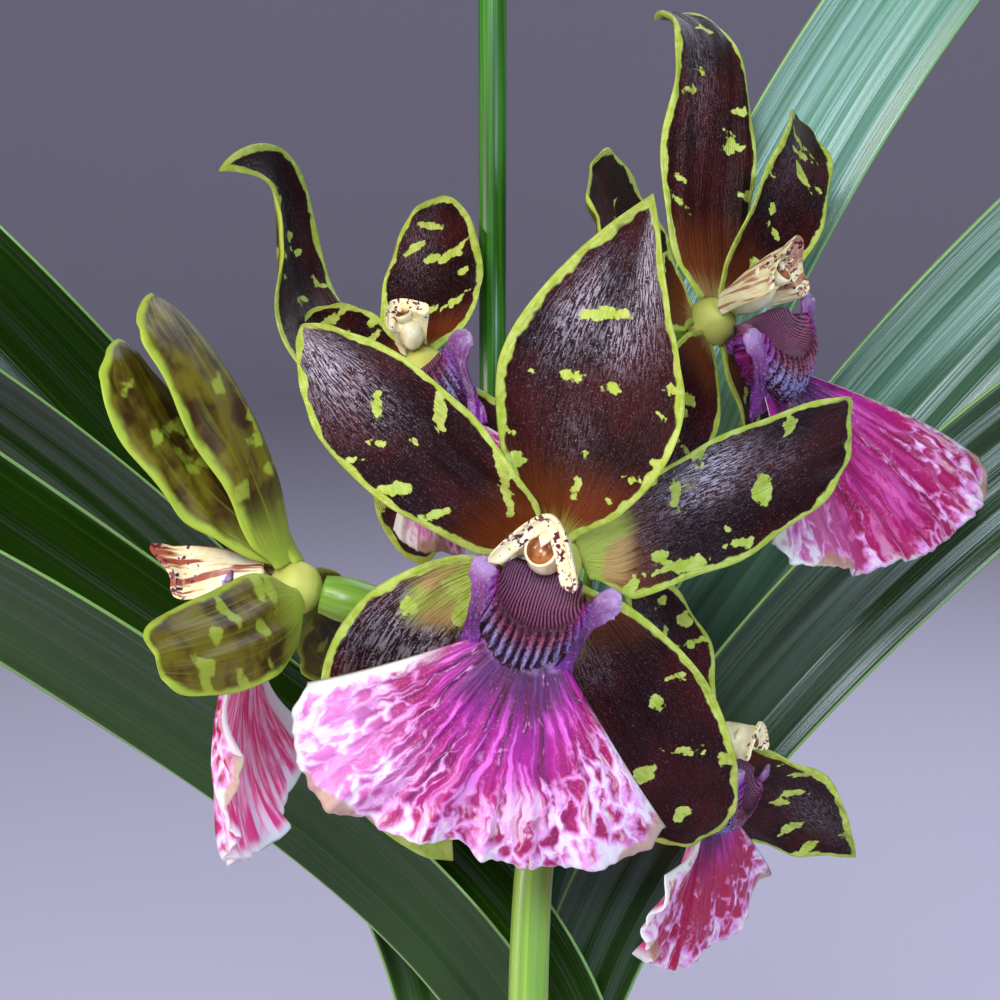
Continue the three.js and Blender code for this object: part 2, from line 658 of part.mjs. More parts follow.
// Hooded column: an arched hood with the anther in its mouth, open towards the lip.
function column(bloom) {
  const shape = { ...COLUMN, ...bloom.column };
  const { length, baseRadius, mouthRadius, flare, wrap, wall, rise, anther, antherRise, ridge } = shape;
  const first = HUB_RADIUS + GAP;
  const outer = [];
  const inner = [];
  const [steps, sides] = DETAIL.column;
  for (let s = 0; s <= steps; s++) {
    const t = s / steps;
    const radius = THREE.MathUtils.lerp(baseRadius, mouthRadius, t ** flare);
    const ring = (size, z) => Array.from({ length: sides + 1 }, (_, k) => {
      const angle = radians(wrap * ((2 * k) / sides - 1));
      return vector(Math.sin(angle) * size, Math.cos(angle) * size + rise, z);
    });
    outer.push(ring(radius, first + length * t));
    inner.push(ring(radius - wall, first + length * t));
  }
  const stretch = 1.6;
  const core = new THREE.SphereGeometry(baseRadius * 0.95, ...DETAIL.knob).scale(1, 1, stretch);
  core.translate(0, rise, first + baseRadius * stretch);
  const cap = new THREE.SphereGeometry(anther, ...DETAIL.knob);
  cap.translate(0, rise + antherRise, first + length - anther * 1.2);
  const rib = new THREE.BoxGeometry(ridge, mouthRadius, length * 0.7);
  rib.translate(0, rise + mouthRadius * 0.4, first + length / 2);
  const geometry = join([slab(inner, outer), core, cap, rib]);
  geometry.rotateX(-radians(shape.tilt)).rotateY(radians(shape.yaw));
  return mesh(`${bloom.name}_bloom_column`, geometry, COLUMN_CREAM);
}

function bloom(plan) {
  const group = facing(plan.at, plan.yaw, plan.pitch, plan.roll);
  group.add(tepals(plan), lip(plan), column(plan));
  return group;
}

// ---------------------------------------------------------------- flower spike

// Ovary and stalk of one bloom, from its node on the spike to just behind its centre.
function ovary(plan) {
  const group = facing(plan.at, plan.yaw, plan.pitch, plan.roll);
  group.updateMatrix();
  const seat = vector(0, 0, -OVARY.behindHub - GAP).applyMatrix4(group.matrix);
  const back = vector(0, 0, -OVARY.straight).applyMatrix4(group.matrix);
  const from = vector(...plan.node);
  const curve = new THREE.CubicBezierCurve3(from, from.clone().lerp(back, 0.5), back, seat);
  const { lerp, smoothstep } = THREE.MathUtils;
  const radiusAt = (t) => lerp(OVARY.stalkRadius, OVARY.flowerRadius, smoothstep(t, 0, 1));
  return taperedTube(curve, radiusAt, ...DETAIL.ovary);
}

function spike() {
  const { path, footRadius, topRadius } = PEDUNCLE;
  const radiusAt = (t) => THREE.MathUtils.lerp(footRadius, topRadius, t ** 2);
  const stem = taperedTube(smoothCurve(path), radiusAt, ...DETAIL.peduncle);
  return mesh("flower_spike", join([stem, ...BLOOMS.map(ovary)]), SPIKE_GREEN);
}

function peduncleHole() {
  const [x, y, z] = PEDUNCLE.path[0];
  const radius = PEDUNCLE.holeRadius;
  const height = 2 * (BARK.top - z);
  const hole = new THREE.CylinderGeometry(radius, radius, height, DETAIL.holeSides);
  return hole.rotateX(Math.PI / 2).translate(x, y, z + height / 2 - GAP);
}

// ---------------------------------------------------------------- assembly

const orchid = new THREE.Group();
orchid.add(pot());
orchid.add(bark([stakeCylinder(GAP), peduncleHole(), ...GROWTHS.map((plan) => pseudobulb(plan, GAP))]));
orchid.add(mesh("stake", stakeCylinder(0), STAKE_GREEN));
orchid.add(...GROWTHS.map(growth));
orchid.add(...LEAVES.map(leaf));
orchid.add(spike());
orchid.add(...BLOOMS.map(bloom));

export default orchid;
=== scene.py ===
"""Potted zygopetalum orchid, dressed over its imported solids: blooms, leaves, bulbs, stake, bark and pot."""

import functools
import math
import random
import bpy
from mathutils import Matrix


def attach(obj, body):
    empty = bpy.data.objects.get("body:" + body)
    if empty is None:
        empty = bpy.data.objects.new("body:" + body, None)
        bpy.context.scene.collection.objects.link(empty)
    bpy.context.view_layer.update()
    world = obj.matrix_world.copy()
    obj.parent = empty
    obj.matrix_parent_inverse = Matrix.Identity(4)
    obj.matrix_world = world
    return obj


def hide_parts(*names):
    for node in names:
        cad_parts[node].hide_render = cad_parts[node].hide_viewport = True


bl_info = {
    "name": "Zygopetalum Orchid",
    "version": (1, 0, 0),
    "blender": (4, 5, 0),
    "location": "View3D > Sidebar > Orchid",
    "description": "Builds a potted zygopetalum orchid piece by piece",
    "category": "Add Mesh",
}

import bmesh
import bpy
from mathutils import Matrix, Vector, noise

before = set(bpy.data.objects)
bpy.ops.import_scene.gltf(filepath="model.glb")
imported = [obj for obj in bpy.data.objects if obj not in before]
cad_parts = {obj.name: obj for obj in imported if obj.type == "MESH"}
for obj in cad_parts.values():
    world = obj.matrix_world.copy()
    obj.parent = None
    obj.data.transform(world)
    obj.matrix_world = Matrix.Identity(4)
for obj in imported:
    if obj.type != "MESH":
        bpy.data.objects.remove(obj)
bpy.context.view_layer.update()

MM = 0.001
BODY = "root"

# ---------------------------------------------------------------- driving sizes, in millimetres and degrees

LEAF_BASE_Z = 152
LEAF_PLEATS = 4
PLEAT_DEPTH = 0.16
# Share of a leaf by which it has leaned away from the fan's middle.
SPREAD_END = 0.17
HUB_RADIUS = 3.4
TEPAL_START = 3

BLADE = dict(
    start=0, forward=0, turn=0, spread=0, sweep=0, lean=0, bend=0, curl=0, roll=0, twist=0, length=40, width=18,
    base=0.35, widest=0.5, taper=2.2, round=0.62, cup=0.2, skew=0, wave=0.5, waves=2.5, phase=0.0, keel=0.0,
    neck=1.0, fold=0.0, rims=(1.0, 1.0),
)
LEAF = dict(BLADE, base=0.42, taper=2.2, round=0.8, cup=0.16, wave=0.9, waves=2.0)

LEAVES = {
    "leaf_left_1": dict(at=(-14, 24), turn=9, spread=-33, sweep=-43, lean=-5, twist=12, length=360, width=24),
    "leaf_left_2": dict(at=(-12, 18), turn=18, spread=-38, sweep=-70, lean=-3, twist=60, length=340,
                        width=16),
    "leaf_left_3": dict(at=(4, -3), turn=12, spread=-70, sweep=4, lean=-4, twist=20, length=360, width=28),
    "leaf_left_4": dict(at=(6, -12), turn=7, spread=-49, sweep=-38, lean=-3, twist=80, length=340, width=20),
    "leaf_right_1": dict(at=(12.7, 22), turn=-12, spread=3, sweep=80, lean=-6, twist=-3, length=380,
                         width=20),
    "leaf_right_2": dict(at=(10, 17), turn=-16, spread=36, sweep=50, lean=-6, twist=-6, length=360, width=21),
    "leaf_right_3": dict(at=(6, 0.6), turn=-12, spread=34, sweep=64, lean=-7.5, twist=-14, length=340,
                         width=21),
    "leaf_back": dict(at=(8.5, 26), turn=-2, spread=4, sweep=4, lean=-26, bend=-60, length=240, width=21),
}

# Painted sheen on two of the right leaves, a pale teal that stands in for reflected light: centre along and
# across, reach along and across, and strength.
LEAF_SHEEN_PATCHES = {
    "leaf_right_1": ((0.72, 0.0, 0.4, 1.6, 0.85),),
    "leaf_right_2": ((0.5, 0.2, 0.35, 1.2, 0.4),),
}

GROWTHS = {
    "growth_front": dict(x=5, y=-6, bulb=11, wide=8.5, deep=10.5),
    "growth_left": dict(x=-14, y=23, bulb=11, wide=8.5, deep=8.5),
    "growth_right": dict(x=14, y=21, bulb=11, wide=8.5, deep=8.5),
}
BULB_BOTTOM = 88
BULB_PROFILE = ((0.6, 0), (0.9, 10), (1.0, 26), (0.9, 44), (0.62, 62))
SHEATH_BOTTOM = 132
SHEATH_TOP = 176
# Leaf bases, then dry sheaths: bottom, top, shares of the bulb's width at both, facing, and half of the wrap.
SHEATHS = (
    (SHEATH_BOTTOM - 6, SHEATH_TOP - 1, 0.86, 0.99, 0, 165),
    (SHEATH_BOTTOM - 16, SHEATH_TOP - 14, 0.95, 0.99, 180, 150), (96, 132, 1.0, 0.93, 70, 150),
    (92, 120, 1.0, 0.98, 250, 160),
)

PEDUNCLE_PATH = ((0, -22, 84), (-0.5, -21.5, 180), (0, -19.5, 230), (4, -16, 256), (7, -11, 280), (8, -8, 298))
PEDUNCLE_FOOT = 2.9
PEDUNCLE_TOP = 1.3
OVARY_STALK = 1.5
OVARY_FLOWER = 2.9
OVARY_BEHIND_HUB = 3.3
OVARY_STRAIGHT = 14
TOUCH_GAP = 0.3
DRAINS = 4
STAKE_AT = (-5.4, 10)
BARK_CHIPS = 330
TEPAL_MARKS = 9

LIP = dict(
    turn=182, out=5.5, forward=6, core=5.2, span=50, lean=10, bend=-30, droop=8,
    edge=(30, 34, 35, 31, 32.5, 34, 33), ruffle=0.9, ruffles=5, pale=0.0, crimson=0.0,
)
CALLUS_FLOOR = -1.2
CALLUS_RIBS = 16
# Folds of the lip's margin: place across from -1 to 1, width in the same share, and depth in millimetres.
LIP_TUCKS = ((-0.16, 0.05, 1.8), (-0.28, 0.06, -1.3), (0.1, 0.05, 1.0), (0.34, 0.07, -1.4), (0.66, 0.06, 1.2),
             (0.85, 0.05, -1.0))
# Side lobes of the lip, left and right: line from the foot of the callus to the ear, and half-widths along it.
WINGS = {
    -1: (((5.4, 7.0, -0.7), (6.4, 4.8, 0.4), (6.8, 2.2, 1.6), (7.0, -0.2, 2.6),
          (7.9, -2.8, 3.2), (8.9, -5.0, 3.2)),
         (1.9, 1.2, 1.0, 1.15, 1.7, 1.6)),
    1: (((4.4, 6.6, -0.7), (5.1, 4.4, 0.3), (5.2, 2.2, 1.0), (5.1, -0.2, 1.9),
         (5.6, -2.8, 2.7), (7.0, -4.7, 2.9),
         (8.3, -5.3, 2.7)), (1.8, 1.1, 1.0, 1.1, 1.5, 1.9, 1.6)),
}
COLUMN = dict(length=11, base=3, mouth=5, wrap=115, tilt=8, yaw=0, rise=1.4, streaks=0.0, point=0, swell=0.0)
FULL_MOUTH = 5.6
# Half section of the sticky bowl under the anther, for a column with a full mouth: radius and height.
BOWL = ((0, -1.1), (0.7, -1.05), (1.25, -0.7), (1.55, -0.1), (1.62, 0.15), (1.74, 0.25), (1.88, 0.12),
        (1.92, -0.5), (1.7, -1.5), (1.2, -2.2), (0, -2.4))

TEPALS = {
    "dorsal_sepal": dict(turn=0, lean=12, bend=-8, length=42, width=20),
    "left_petal": dict(turn=-62, lean=10, bend=-20, length=38, width=17, widest=0.58),
    "right_petal": dict(turn=62, lean=10, bend=-20, length=38, width=17, widest=0.58),
    "left_sepal": dict(turn=-132, lean=0, bend=-30, length=40, width=19),
    "right_sepal": dict(turn=132, lean=0, bend=-30, length=40, width=19),
}

BLOOMS = {
    "front": dict(
        at=(2, -51.3, 283), yaw=0, pitch=0, roll=18, node=(5, -12, 272),
        tepals=dict(
            dorsal_sepal=dict(turn=-6.7, sweep=4.7, lean=15.8, bend=4.5, roll=13, twist=11, length=44.6,
                              width=22.7, base=0.26, widest=0.44, taper=1.6, round=1, cup=0.23, keel=0.35,
                              rims=(1.3, 1.05)),
            left_petal=dict(turn=-63, sweep=-3, lean=11.5, bend=-17, curl=-9, roll=13, twist=9, length=38.2,
                            width=16.5, base=0.45, widest=0.6, taper=1.7, round=0.7, skew=-0.09, cup=0.24),
            right_petal=dict(turn=48, sweep=3.7, lean=-13, bend=-16, roll=-21, twist=-10, length=39.7,
                             width=17.4, base=0.77, widest=0.5, taper=2.8, round=0.27, skew=0.18, cup=0.23,
                             forward=-0.6, neck=0.5),
            left_sepal=dict(turn=-135, sweep=-99, lean=-6, bend=-12, length=46.5, width=21, base=0.23,
                            widest=0.42, taper=1.5, round=0.9, skew=0.18),
            right_sepal=dict(turn=135, lean=-6, bend=-28, length=43.5, width=19.5, base=0.27, widest=0.47,
                             taper=1.7, round=0.45),
        ),
        lip=dict(turn=183, span=51, edge=(34.5, 33, 32.1, 30.3, 34.2, 35, 31)),
        column=dict(length=9, mouth=5.6, tilt=3.5, yaw=-14),
    ),
    "left": dict(
        at=(-29.6, -40.2, 277.5), yaw=-105, pitch=10, roll=0, node=(4, -16, 262),
        tepals=dict(
            dorsal_sepal=dict(turn=10, sweep=-3.6, lean=17, bend=27.7, curl=17.5, twist=-23, length=38,
                              width=21.4, widest=0.8, taper=2.6, round=0.6, cup=0.37, forward=1.2),
            left_petal=dict(turn=-18, sweep=8, lean=46, bend=-13, length=33),
            right_petal=dict(turn=15, sweep=-7.6, lean=47.6, bend=-13, curl=16, roll=7.6, twist=-31,
                             length=34.5, width=20, widest=0.74, base=0.15, taper=2.9, round=0.52, cup=0.41,
                             forward=1.3),
            left_sepal=dict(turn=-120, lean=-4, bend=0, length=26, width=14),
            right_sepal=dict(turn=96, sweep=-7, lean=-2, bend=25, roll=-29, twist=-20, length=32, width=12.4,
                             base=0.4, widest=0.3, taper=2.5, round=0.25, forward=-1.7),
        ),
        lip=dict(turn=172, out=4.9, forward=4, core=4.7, span=42, lean=10, bend=-44, droop=12,
                 edge=(22, 27, 30, 30.6, 30, 27, 22), pale=0.1, crimson=0.5),
        column=dict(length=11.5, mouth=4.2, tilt=-12, streaks=1.0, point=3.6, swell=0.3),
    ),
    "upper_left": dict(
        at=(-14.6, -5.7, 300.2), yaw=-25, pitch=40, roll=-50, node=(6, -10, 288),
        tepals=dict(
            dorsal_sepal=dict(turn=-43.6, sweep=136.5, lean=-11, bend=44.7, curl=145, roll=-7.5, twist=-137,
                              length=56.5, width=18, base=0.37, widest=0.2, taper=1.9, round=0.86, cup=0.36,
                              forward=-1.9),
            left_petal=dict(turn=-22, sweep=10, lean=-10, bend=10, length=22, width=10),
            right_petal=dict(turn=36, lean=-8, bend=15, length=28, width=15, base=0.3, widest=0.3, taper=2.4,
                             round=0.56, cup=0.13),
            left_sepal=dict(turn=-140, lean=-20, bend=0, length=24, width=13),
            right_sepal=dict(turn=180, lean=-38, bend=0, length=22, width=12),
        ),
        lip=dict(turn=196, out=7.5, forward=3, span=36, lean=0, bend=-20, edge=(20, 23, 24, 24, 23, 22, 20)),
        column=dict(length=6, base=2.4, mouth=3.4, tilt=10, yaw=14),
    ),
    "upper_right": dict(
        at=(24.8, -1.5, 306.6), yaw=50, pitch=10, roll=5, node=(7, -8, 292),
        tepals=dict(
            dorsal_sepal=dict(turn=9.6, sweep=4.7, lean=-10.6, bend=39, curl=-134, roll=16, twist=-3,
                              length=49.8, width=16.5, base=0.52, widest=0.38, taper=1.6, round=0.65,
                              cup=0.11, skew=-0.09),
            left_petal=dict(turn=-71, sweep=3, lean=7.7, bend=19.4, roll=-10, length=40.5, width=18,
                            base=0.29, widest=0.64, taper=3.2, round=0.33, cup=0.24, forward=-1.5),
            right_petal=dict(turn=42.7, sweep=3, lean=18, bend=-37.6, curl=-20, roll=10, length=41.7,
                             width=12.7, base=0.36, widest=0.43, taper=2.5, round=0.54, cup=0.29),
            left_sepal=dict(turn=-138, lean=6, bend=-20, length=30, width=16),
            right_sepal=dict(turn=132, lean=0, bend=-30, length=30, width=17),
        ),
        lip=dict(turn=165, out=5.4, forward=8.5, lean=33, bend=-10, droop=16,
                 edge=(43, 39, 36, 34, 33, 33, 35), pale=-0.2, crimson=0.45),
        column=dict(length=10.5, mouth=4.4, rise=0.4, tilt=19, streaks=0.8, point=3.2, swell=0.3),
    ),
    "lower_right": dict(
        at=(22.6, -18.4, 251.2), yaw=60, pitch=-25, roll=0, node=(1, -19, 240),
        tepals=dict(
            dorsal_sepal=dict(turn=-20, lean=-40, bend=-10, length=24, width=12),
            left_petal=dict(turn=-85, lean=-20, bend=-10, length=24, width=12),
            right_petal=dict(turn=36, lean=-52, bend=0, length=22, width=11),
            left_sepal=dict(turn=-114, lean=-30, bend=-10, length=22, width=13),
            right_sepal=dict(turn=118, lean=22, bend=14, curl=10, roll=-29, twist=-20, length=38, width=19,
                             widest=0.47, taper=1.5, round=0.88),
        ),
        lip=dict(turn=200, out=3.6, forward=5.6, core=4.6, span=70, lean=26, bend=-16, droop=4,
                 edge=(28, 28, 26, 24.5, 26, 29, 31), pale=-0.1, crimson=1.0),
        column=dict(length=5, mouth=3.4, tilt=24),
    ),
}

# Pale green marks of the front bloom's sepals and petals: distance along, distance across, half-length,
# half-width, all in millimetres, and slant in degrees.
MARKS = {
    "dorsal_sepal": (
        (29.3, -0.9, 0.8, 3.1, 20), (20.6, -3.1, 0.7, 2.2, 25), (21, 2, 0.9, 1.4, 20),
        (19.8, -6.8, 0.35, 1, 10), (24.3, 9.6, 0.8, 1.6, 25), (20.3, 8.6, 0.6, 0.8, 0),
        (14.8, 9.9, 0.8, 1.5, 30), (11.4, 7.2, 0.7, 1.1, 30), (7.2, 4.9, 0.4, 0.6, 20),
        (12, -8.6, 0.5, 1, 0), (8.9, -6.5, 1.2, 0.9, 0), (7, 0.7, 1.4, 0.5, 0), (11.7, 1, 0.5, 0.6, 0),
    ),
    "left_petal": (
        (25.5, -0.2, 0.7, 1.8, 40), (22.2, -3.7, 0.5, 1.4, -45), (22.7, -7, 0.4, 1, -35),
        (19.1, -0.6, 0.35, 1, -45), (17, -6.3, 0.8, 2.4, -37), (11.2, -5.2, 0.6, 2.3, -38),
        (19.8, 4.9, 0.8, 2.8, 35), (9.5, 4.4, 0.7, 6.2, 52),
    ),
    "right_petal": (
        (25.1, 3.5, 1.6, 2.5, 0), (13.6, -1.9, 0.8, 3, -8), (17.1, -6.6, 1, 2.2, 0),
        (20.3, 8.3, 1.8, 0.6, -15), (18.9, 6.1, 0.7, 0.4, 0), (11.9, 7.7, 3.6, 1, -17),
        (29.3, -4.6, 0.9, 2, 0), (8, -6.5, 3, 0.8, -20), (4.5, 7, 2.4, 0.8, 20), (9.5, 5.6, 1.2, 0.9, -30),
        (5, -5.5, 3, 1.3, 0), (10.5, -5.8, 1.6, 1, -10),
    ),
    "left_sepal": ((12.2, 6.4, 1, 1.1, 0), (9, 5.4, 0.6, 0.7, 0), (18, 2, 0.6, 1.4, 20), (45, 0, 6, 8, 0),
                   (6, 3, 3.2, 2.2, 0), (9.5, 1, 1.5, 1.2, 30)),
    "right_sepal": (
        (27.2, -3.2, 0.6, 2.3, -25), (28, 2.5, 1.3, 1.8, 20), (36.7, 1, 1.2, 1.2, 0),
        (30.7, -7.3, 1.3, 1.2, 0), (19.3, -3.2, 1.2, 1, 0), (16.6, -6.8, 0.5, 1.3, -15),
    ),
}

# Painted sheen on the front bloom, a pale veil and grains that stand in for light caught on the raised
# cells: centre along and across, reach along and across, all as shares of the blade, and strength.
SHEEN_PATCHES = {
    "dorsal_sepal": ((0.84, 0.5, 0.2, 0.35, 1.1), (0.66, -0.45, 0.15, 0.3, 0.85), (0.6, 0.15, 0.09, 0.25, 0.6),
                     (0.3, -0.1, 0.13, 0.3, 0.2)),
    "left_petal": ((0.94, -0.15, 0.22, 0.7, 1.25), (0.62, 0.0, 0.14, 0.4, 0.12)),
    "right_petal": ((0.46, -0.35, 0.15, 0.5, 1.3), (0.12, 0.0, 0.16, 0.8, 0.45), (0.72, 0.0, 0.1, 0.4, 0.25)),
    "left_sepal": ((0.22, 0.4, 0.25, 0.6, 0.8),),
    "right_sepal": ((0.2, 0.3, 0.1, 0.4, 0.4),),
}
# Painted sheen on the other blooms, in the same columns.
USUAL_SHEEN_PATCHES = ((0.7, -0.4, 0.25, 0.5, 0.3),)

# Studio lamps: place and size in metres, power in watts, and colour.
LAMP_AIM = (0, -0.03, 0.28)
LAMPS = {
    "key": ((-0.6, -0.9, 1.15), 0.4, 9, "#fff4e6"),
    "window": ((-0.18, -1.15, 0.85), 0.28, 9.5, "#dff0ff"),
    "side": ((0.62, -1.0, 0.3), 0.26, 6.5, "#d8f0ff"),
    "fill": ((-0.8, -0.3, 0.22), 0.3, 4, "#ffeef0"),
    "sky": ((0.45, 0.8, 1.1), 0.8, 11, "#e6f0ff"),
}
AMBIENT = 0.16
CAMERA_PLACE = (-0.00434, -0.32582, 0.33888)
CAMERA_TILT = 80
CAMERA_LENS = 85
# Floor that curves up into the backdrop, in metres.
FLOOR_FLAT = 2.2
FLOOR_BEND = 1.3
FLOOR_WALL = 0.5

# ---------------------------------------------------------------- sizes and colours a user may change


def to_linear(hex_colour):
    """An sRGB hex colour as the linear RGBA that shaders take."""
    channels = [int(hex_colour[i:i + 2], 16) / 255 for i in (1, 3, 5)]
    linear = [c / 12.92 if c <= 0.04045 else ((c + 0.055) / 1.055) ** 2.4 for c in channels]
    return (*linear, 1.0)


def length(name, description, millimetres):
    return bpy.props.FloatProperty(
        name=name, description=description, default=millimetres * MM, min=0.0, precision=5, subtype="DISTANCE",
        unit="LENGTH")


def colour(name, description, hex_colour):
    return bpy.props.FloatVectorProperty(
        name=name, description=description, default=to_linear(hex_colour), size=4, min=0.0, max=1.0,
        subtype="COLOR")


class OrchidSizes(bpy.types.PropertyGroup):
    """Sizes of the orchid's pieces."""

    pot_height: length("Pot height", "Height of the clay pot", 115)
    pot_foot: length("Pot foot", "Radius of the pot at its base", 46)
    pot_shoulder: length("Pot shoulder", "Radius of the pot under its collar", 60)
    pot_rim: length("Pot rim", "Outer radius of the pot's collar", 65)
    pot_collar: length("Pot collar", "Height of the pot's collar", 22)
    pot_wall: length("Pot wall", "Thickness of the pot's wall", 5)
    pot_floor: length("Pot floor", "Thickness of the pot's floor", 6)
    drain_radius: length("Drain hole", "Radius of each drain hole", 5)
    drain_circle: length("Drain circle", "Radius of the circle that the drain holes lie on", 24)
    bark_top: length("Bark level", "Height of the bark at the pot's wall", 99)
    bark_dome: length("Bark dome", "How far the bark heaps up in the middle", 4)
    stake_foot: length("Stake foot", "Height of the stake's buried end", 24)
    stake_top: length("Stake top", "Height of the stake's upper end", 446)
    stake_foot_radius: length("Stake foot radius", "Radius of the stake's buried end", 1.55)
    stake_top_radius: length("Stake top radius", "Radius of the stake's upper end", 2.1)
    tepal_thickness: length("Tepal thickness", "Thickness of sepals and petals", 0.9)
    lip_thickness: length("Lip thickness", "Thickness of the lip", 0.8)
    leaf_thickness: length("Leaf thickness", "Thickness of a leaf", 1.0)
    rim_width: length("Green rim", "Width of the green rim round sepals and petals", 0.85)


class OrchidColours(bpy.types.PropertyGroup):
    """Colours of the orchid's pieces."""

    clay: colour("Clay", "Fired terracotta", "#b5653f")
    bark: colour("Bark", "Fir bark", "#6b4428")
    stake: colour("Stake", "Plastic coat of the stake", "#255408")
    leaf: colour("Leaf", "Leaf blade", "#122a02")
    leaf_vein: colour("Leaf vein", "Paler leaf tissue along the veins", "#2f5a10")
    bulb: colour("Bulb", "Skin of the pseudobulbs", "#7f9a45")
    spike: colour("Spike", "Flower stalks", "#6f9a30")
    maroon: colour("Maroon", "Ground colour of sepals and petals", "#1d0506")
    # Painted sheen: colour of the pale veil and grains that stand in for light caught on the raised cells.
    painted_sheen: colour("Frost", "Frosted cells on sepals and petals", "#b8adb8")
    rust: colour("Rust", "Base of sepals and petals", "#6a300f")
    lime: colour("Lime", "Rim and marks of sepals and petals", "#a3b43a")
    olive: colour("Olive", "Back of sepals and petals", "#6e6014")
    magenta: colour("Magenta", "Ground colour of the lip", "#9e1488")
    plum: colour("Plum", "Stripes of the lip", "#56043c")
    blush: colour("Blush", "Margin of the lip", "#e8d2da")
    crest: colour("Crest", "Grooves of the callus", "#380820")
    # Painted highlight on the tops of the callus ridges.
    lilac: colour("Lilac", "Ridges of the callus", "#9088b8")
    cream: colour("Cream", "Column", "#ecd9a4")
    floor: colour("Floor", "Studio floor", "#c6c0d6")


def sizes():
    return bpy.context.scene.orchid_sizes


def colours():
    return bpy.context.scene.orchid_colours


# ---------------------------------------------------------------- meshes

FLOATS = ("rim", "mark", "dust", "along", "across")
SHEET_MERGE = 0.004 * MM
TUBE_MERGE = 0.002 * MM
LATHE_MERGE = 0.02 * MM


def new_bmesh():
    """An empty bmesh with a UV map and the float layers that the materials read."""
    bm = bmesh.new()
    bm.loops.layers.uv.new("UVMap")
    for name in FLOATS:
        bm.verts.layers.float.new(name)
    return bm


def make_object(name, bm, skins, smooth=True):
    """Turns a bmesh into an object of the scene, with its materials."""
    mesh = bpy.data.meshes.new(name)
    bm.to_mesh(mesh)
    bm.free()
    for skin in skins:
        mesh.materials.append(material_of(skin))
    mesh.polygons.foreach_set("use_smooth", [smooth] * len(mesh.polygons))
    made = bpy.data.objects.new(name, mesh)
    bpy.context.scene.collection.objects.link(made)
    return made


def finish_piece(name, bm, skins, node, smooth=True):
    """Turns a bmesh into a piece that rides on the plant and stands for one node."""
    bmesh.ops.recalc_face_normals(bm, faces=bm.faces)
    piece = make_object(name, bm, skins, smooth)
    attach(piece, BODY)
    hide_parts(node)
    return piece


def lay_out(bm, where, material):
    """Gives the faces between the vertices of `where` a material, and the UV places that it holds."""
    uv = bm.loops.layers.uv["UVMap"]
    for face in {face for vert in where for face in vert.link_faces}:
        face.material_index = material
        for loop in face.loops:
            loop[uv].uv = where[loop.vert]


def sheet(bm, columns, rows, surface, material=0, back=None, transform=None, ease=0.6):
    """Adds a thin closed sheet. `surface(u, t)` gives its outer point, its inner point and its float values,
    for u from -1 to 1 across and t from 0 to 1 along; outer and inner meet along the border."""
    layers = {name: bm.verts.layers.float[name] for name in FLOATS}
    every = []
    for outer in (True, False):
        verts = bmesh.ops.create_grid(bm, x_segments=columns, y_segments=rows, size=1.0)["verts"]
        where = {}
        for vert in verts:
            x, y = vert.co.x, (vert.co.y + 1) / 2
            u = (1 - ease) * x + ease * math.sin(math.pi / 2 * x)
            t = 0.5 * y + 0.25 * (1 - math.cos(math.pi * y))
            top, bottom, values = surface(u, t)
            border = abs(abs(x) - 1) < 1e-6 or y < 1e-6 or y > 1 - 1e-6
            place = (top + bottom) / 2 if border else (top if outer else bottom)
            vert.co = place * MM
            for key, value in values.items():
                vert[layers[key]] = value
            where[vert] = (0.5 + u / 2, t)
        lay_out(bm, where, material if outer or back is None else back)
        every += verts
    if transform is not None:
        bmesh.ops.transform(bm, matrix=transform, verts=every)
    bmesh.ops.remove_doubles(bm, verts=every, dist=SHEET_MERGE)


def smooth(values, share):
    """A value, or a point, on the smooth line through `values`, at a share from 0 to 1 of its way."""
    place = min(max(share, 0.0), 1.0) * (len(values) - 1)
    i = min(int(place), len(values) - 2)
    f = place - i
    a, b, c, d = values[max(i - 1, 0)], values[i], values[i + 1], values[min(i + 2, len(values) - 1)]
    return 0.5 * (2 * b + (c - a) * f + (2 * a - 5 * b + 4 * c - d) * f * f + (3 * b - a - 3 * c + d) * f ** 3)


def smooth_between(low, high, value):
    """Rises smoothly from 0 at `low` to 1 at `high`."""
    share = min(max((value - low) / (high - low), 0.0), 1.0)
    return share * share * (3 - 2 * share)


def blade_outline(shape, t):
    """Half-width at t as a share of the full half-width."""
    if t < shape["widest"]:
        return shape["base"] + (1 - shape["base"]) * math.sin(math.pi / 2 * t / shape["widest"])
    share = (t - shape["widest"]) / (1 - shape["widest"])
    return max(1 - share ** shape["taper"], 0.0) ** shape["round"]


class Midline:
    """Line down the middle of a blade, in a frame of x right, y up and z front."""

    STEPS = 140

    def __init__(self, shape):
        self.shape = shape
        turn = math.radians(shape["turn"])
        point = Vector((math.sin(turn), math.cos(turn), 0)) * shape["start"]
        point.z += shape["forward"]
        self.points = [point.copy()]
        for step in range(self.STEPS):
            point = point + self.heading((step + 0.5) / self.STEPS)[0] * shape["length"] / self.STEPS
            self.points.append(point.copy())

    def heading(self, t):
        shape = self.shape
        rise = math.radians(shape["lean"] + shape["bend"] * t + shape["curl"] * t ** 4)
        early = 1 - math.exp(-((t / SPREAD_END) ** 2))
        turn = math.radians(shape["turn"] + shape["sweep"] * t + shape["spread"] * early)
        roll = math.radians(shape["roll"] + shape["twist"] * t)
        out = Vector((math.sin(turn), math.cos(turn), 0))
        along = out * math.cos(rise) + Vector((0, 0, math.sin(rise)))
        flat_side = Vector((math.cos(turn), -math.sin(turn), 0))
        flat_normal = Vector((0, 0, math.cos(rise))) - out * math.sin(rise)
        side = flat_side * math.cos(roll) + flat_normal * math.sin(roll)
        normal = flat_normal * math.cos(roll) - flat_side * math.sin(roll)
        return along, side, normal

    def at(self, t):
        place = min(max(t, 0.0), 1.0) * self.STEPS
        step = min(int(place), self.STEPS - 1)
        return self.points[step].lerp(self.points[step + 1], place - step), self.heading(t)


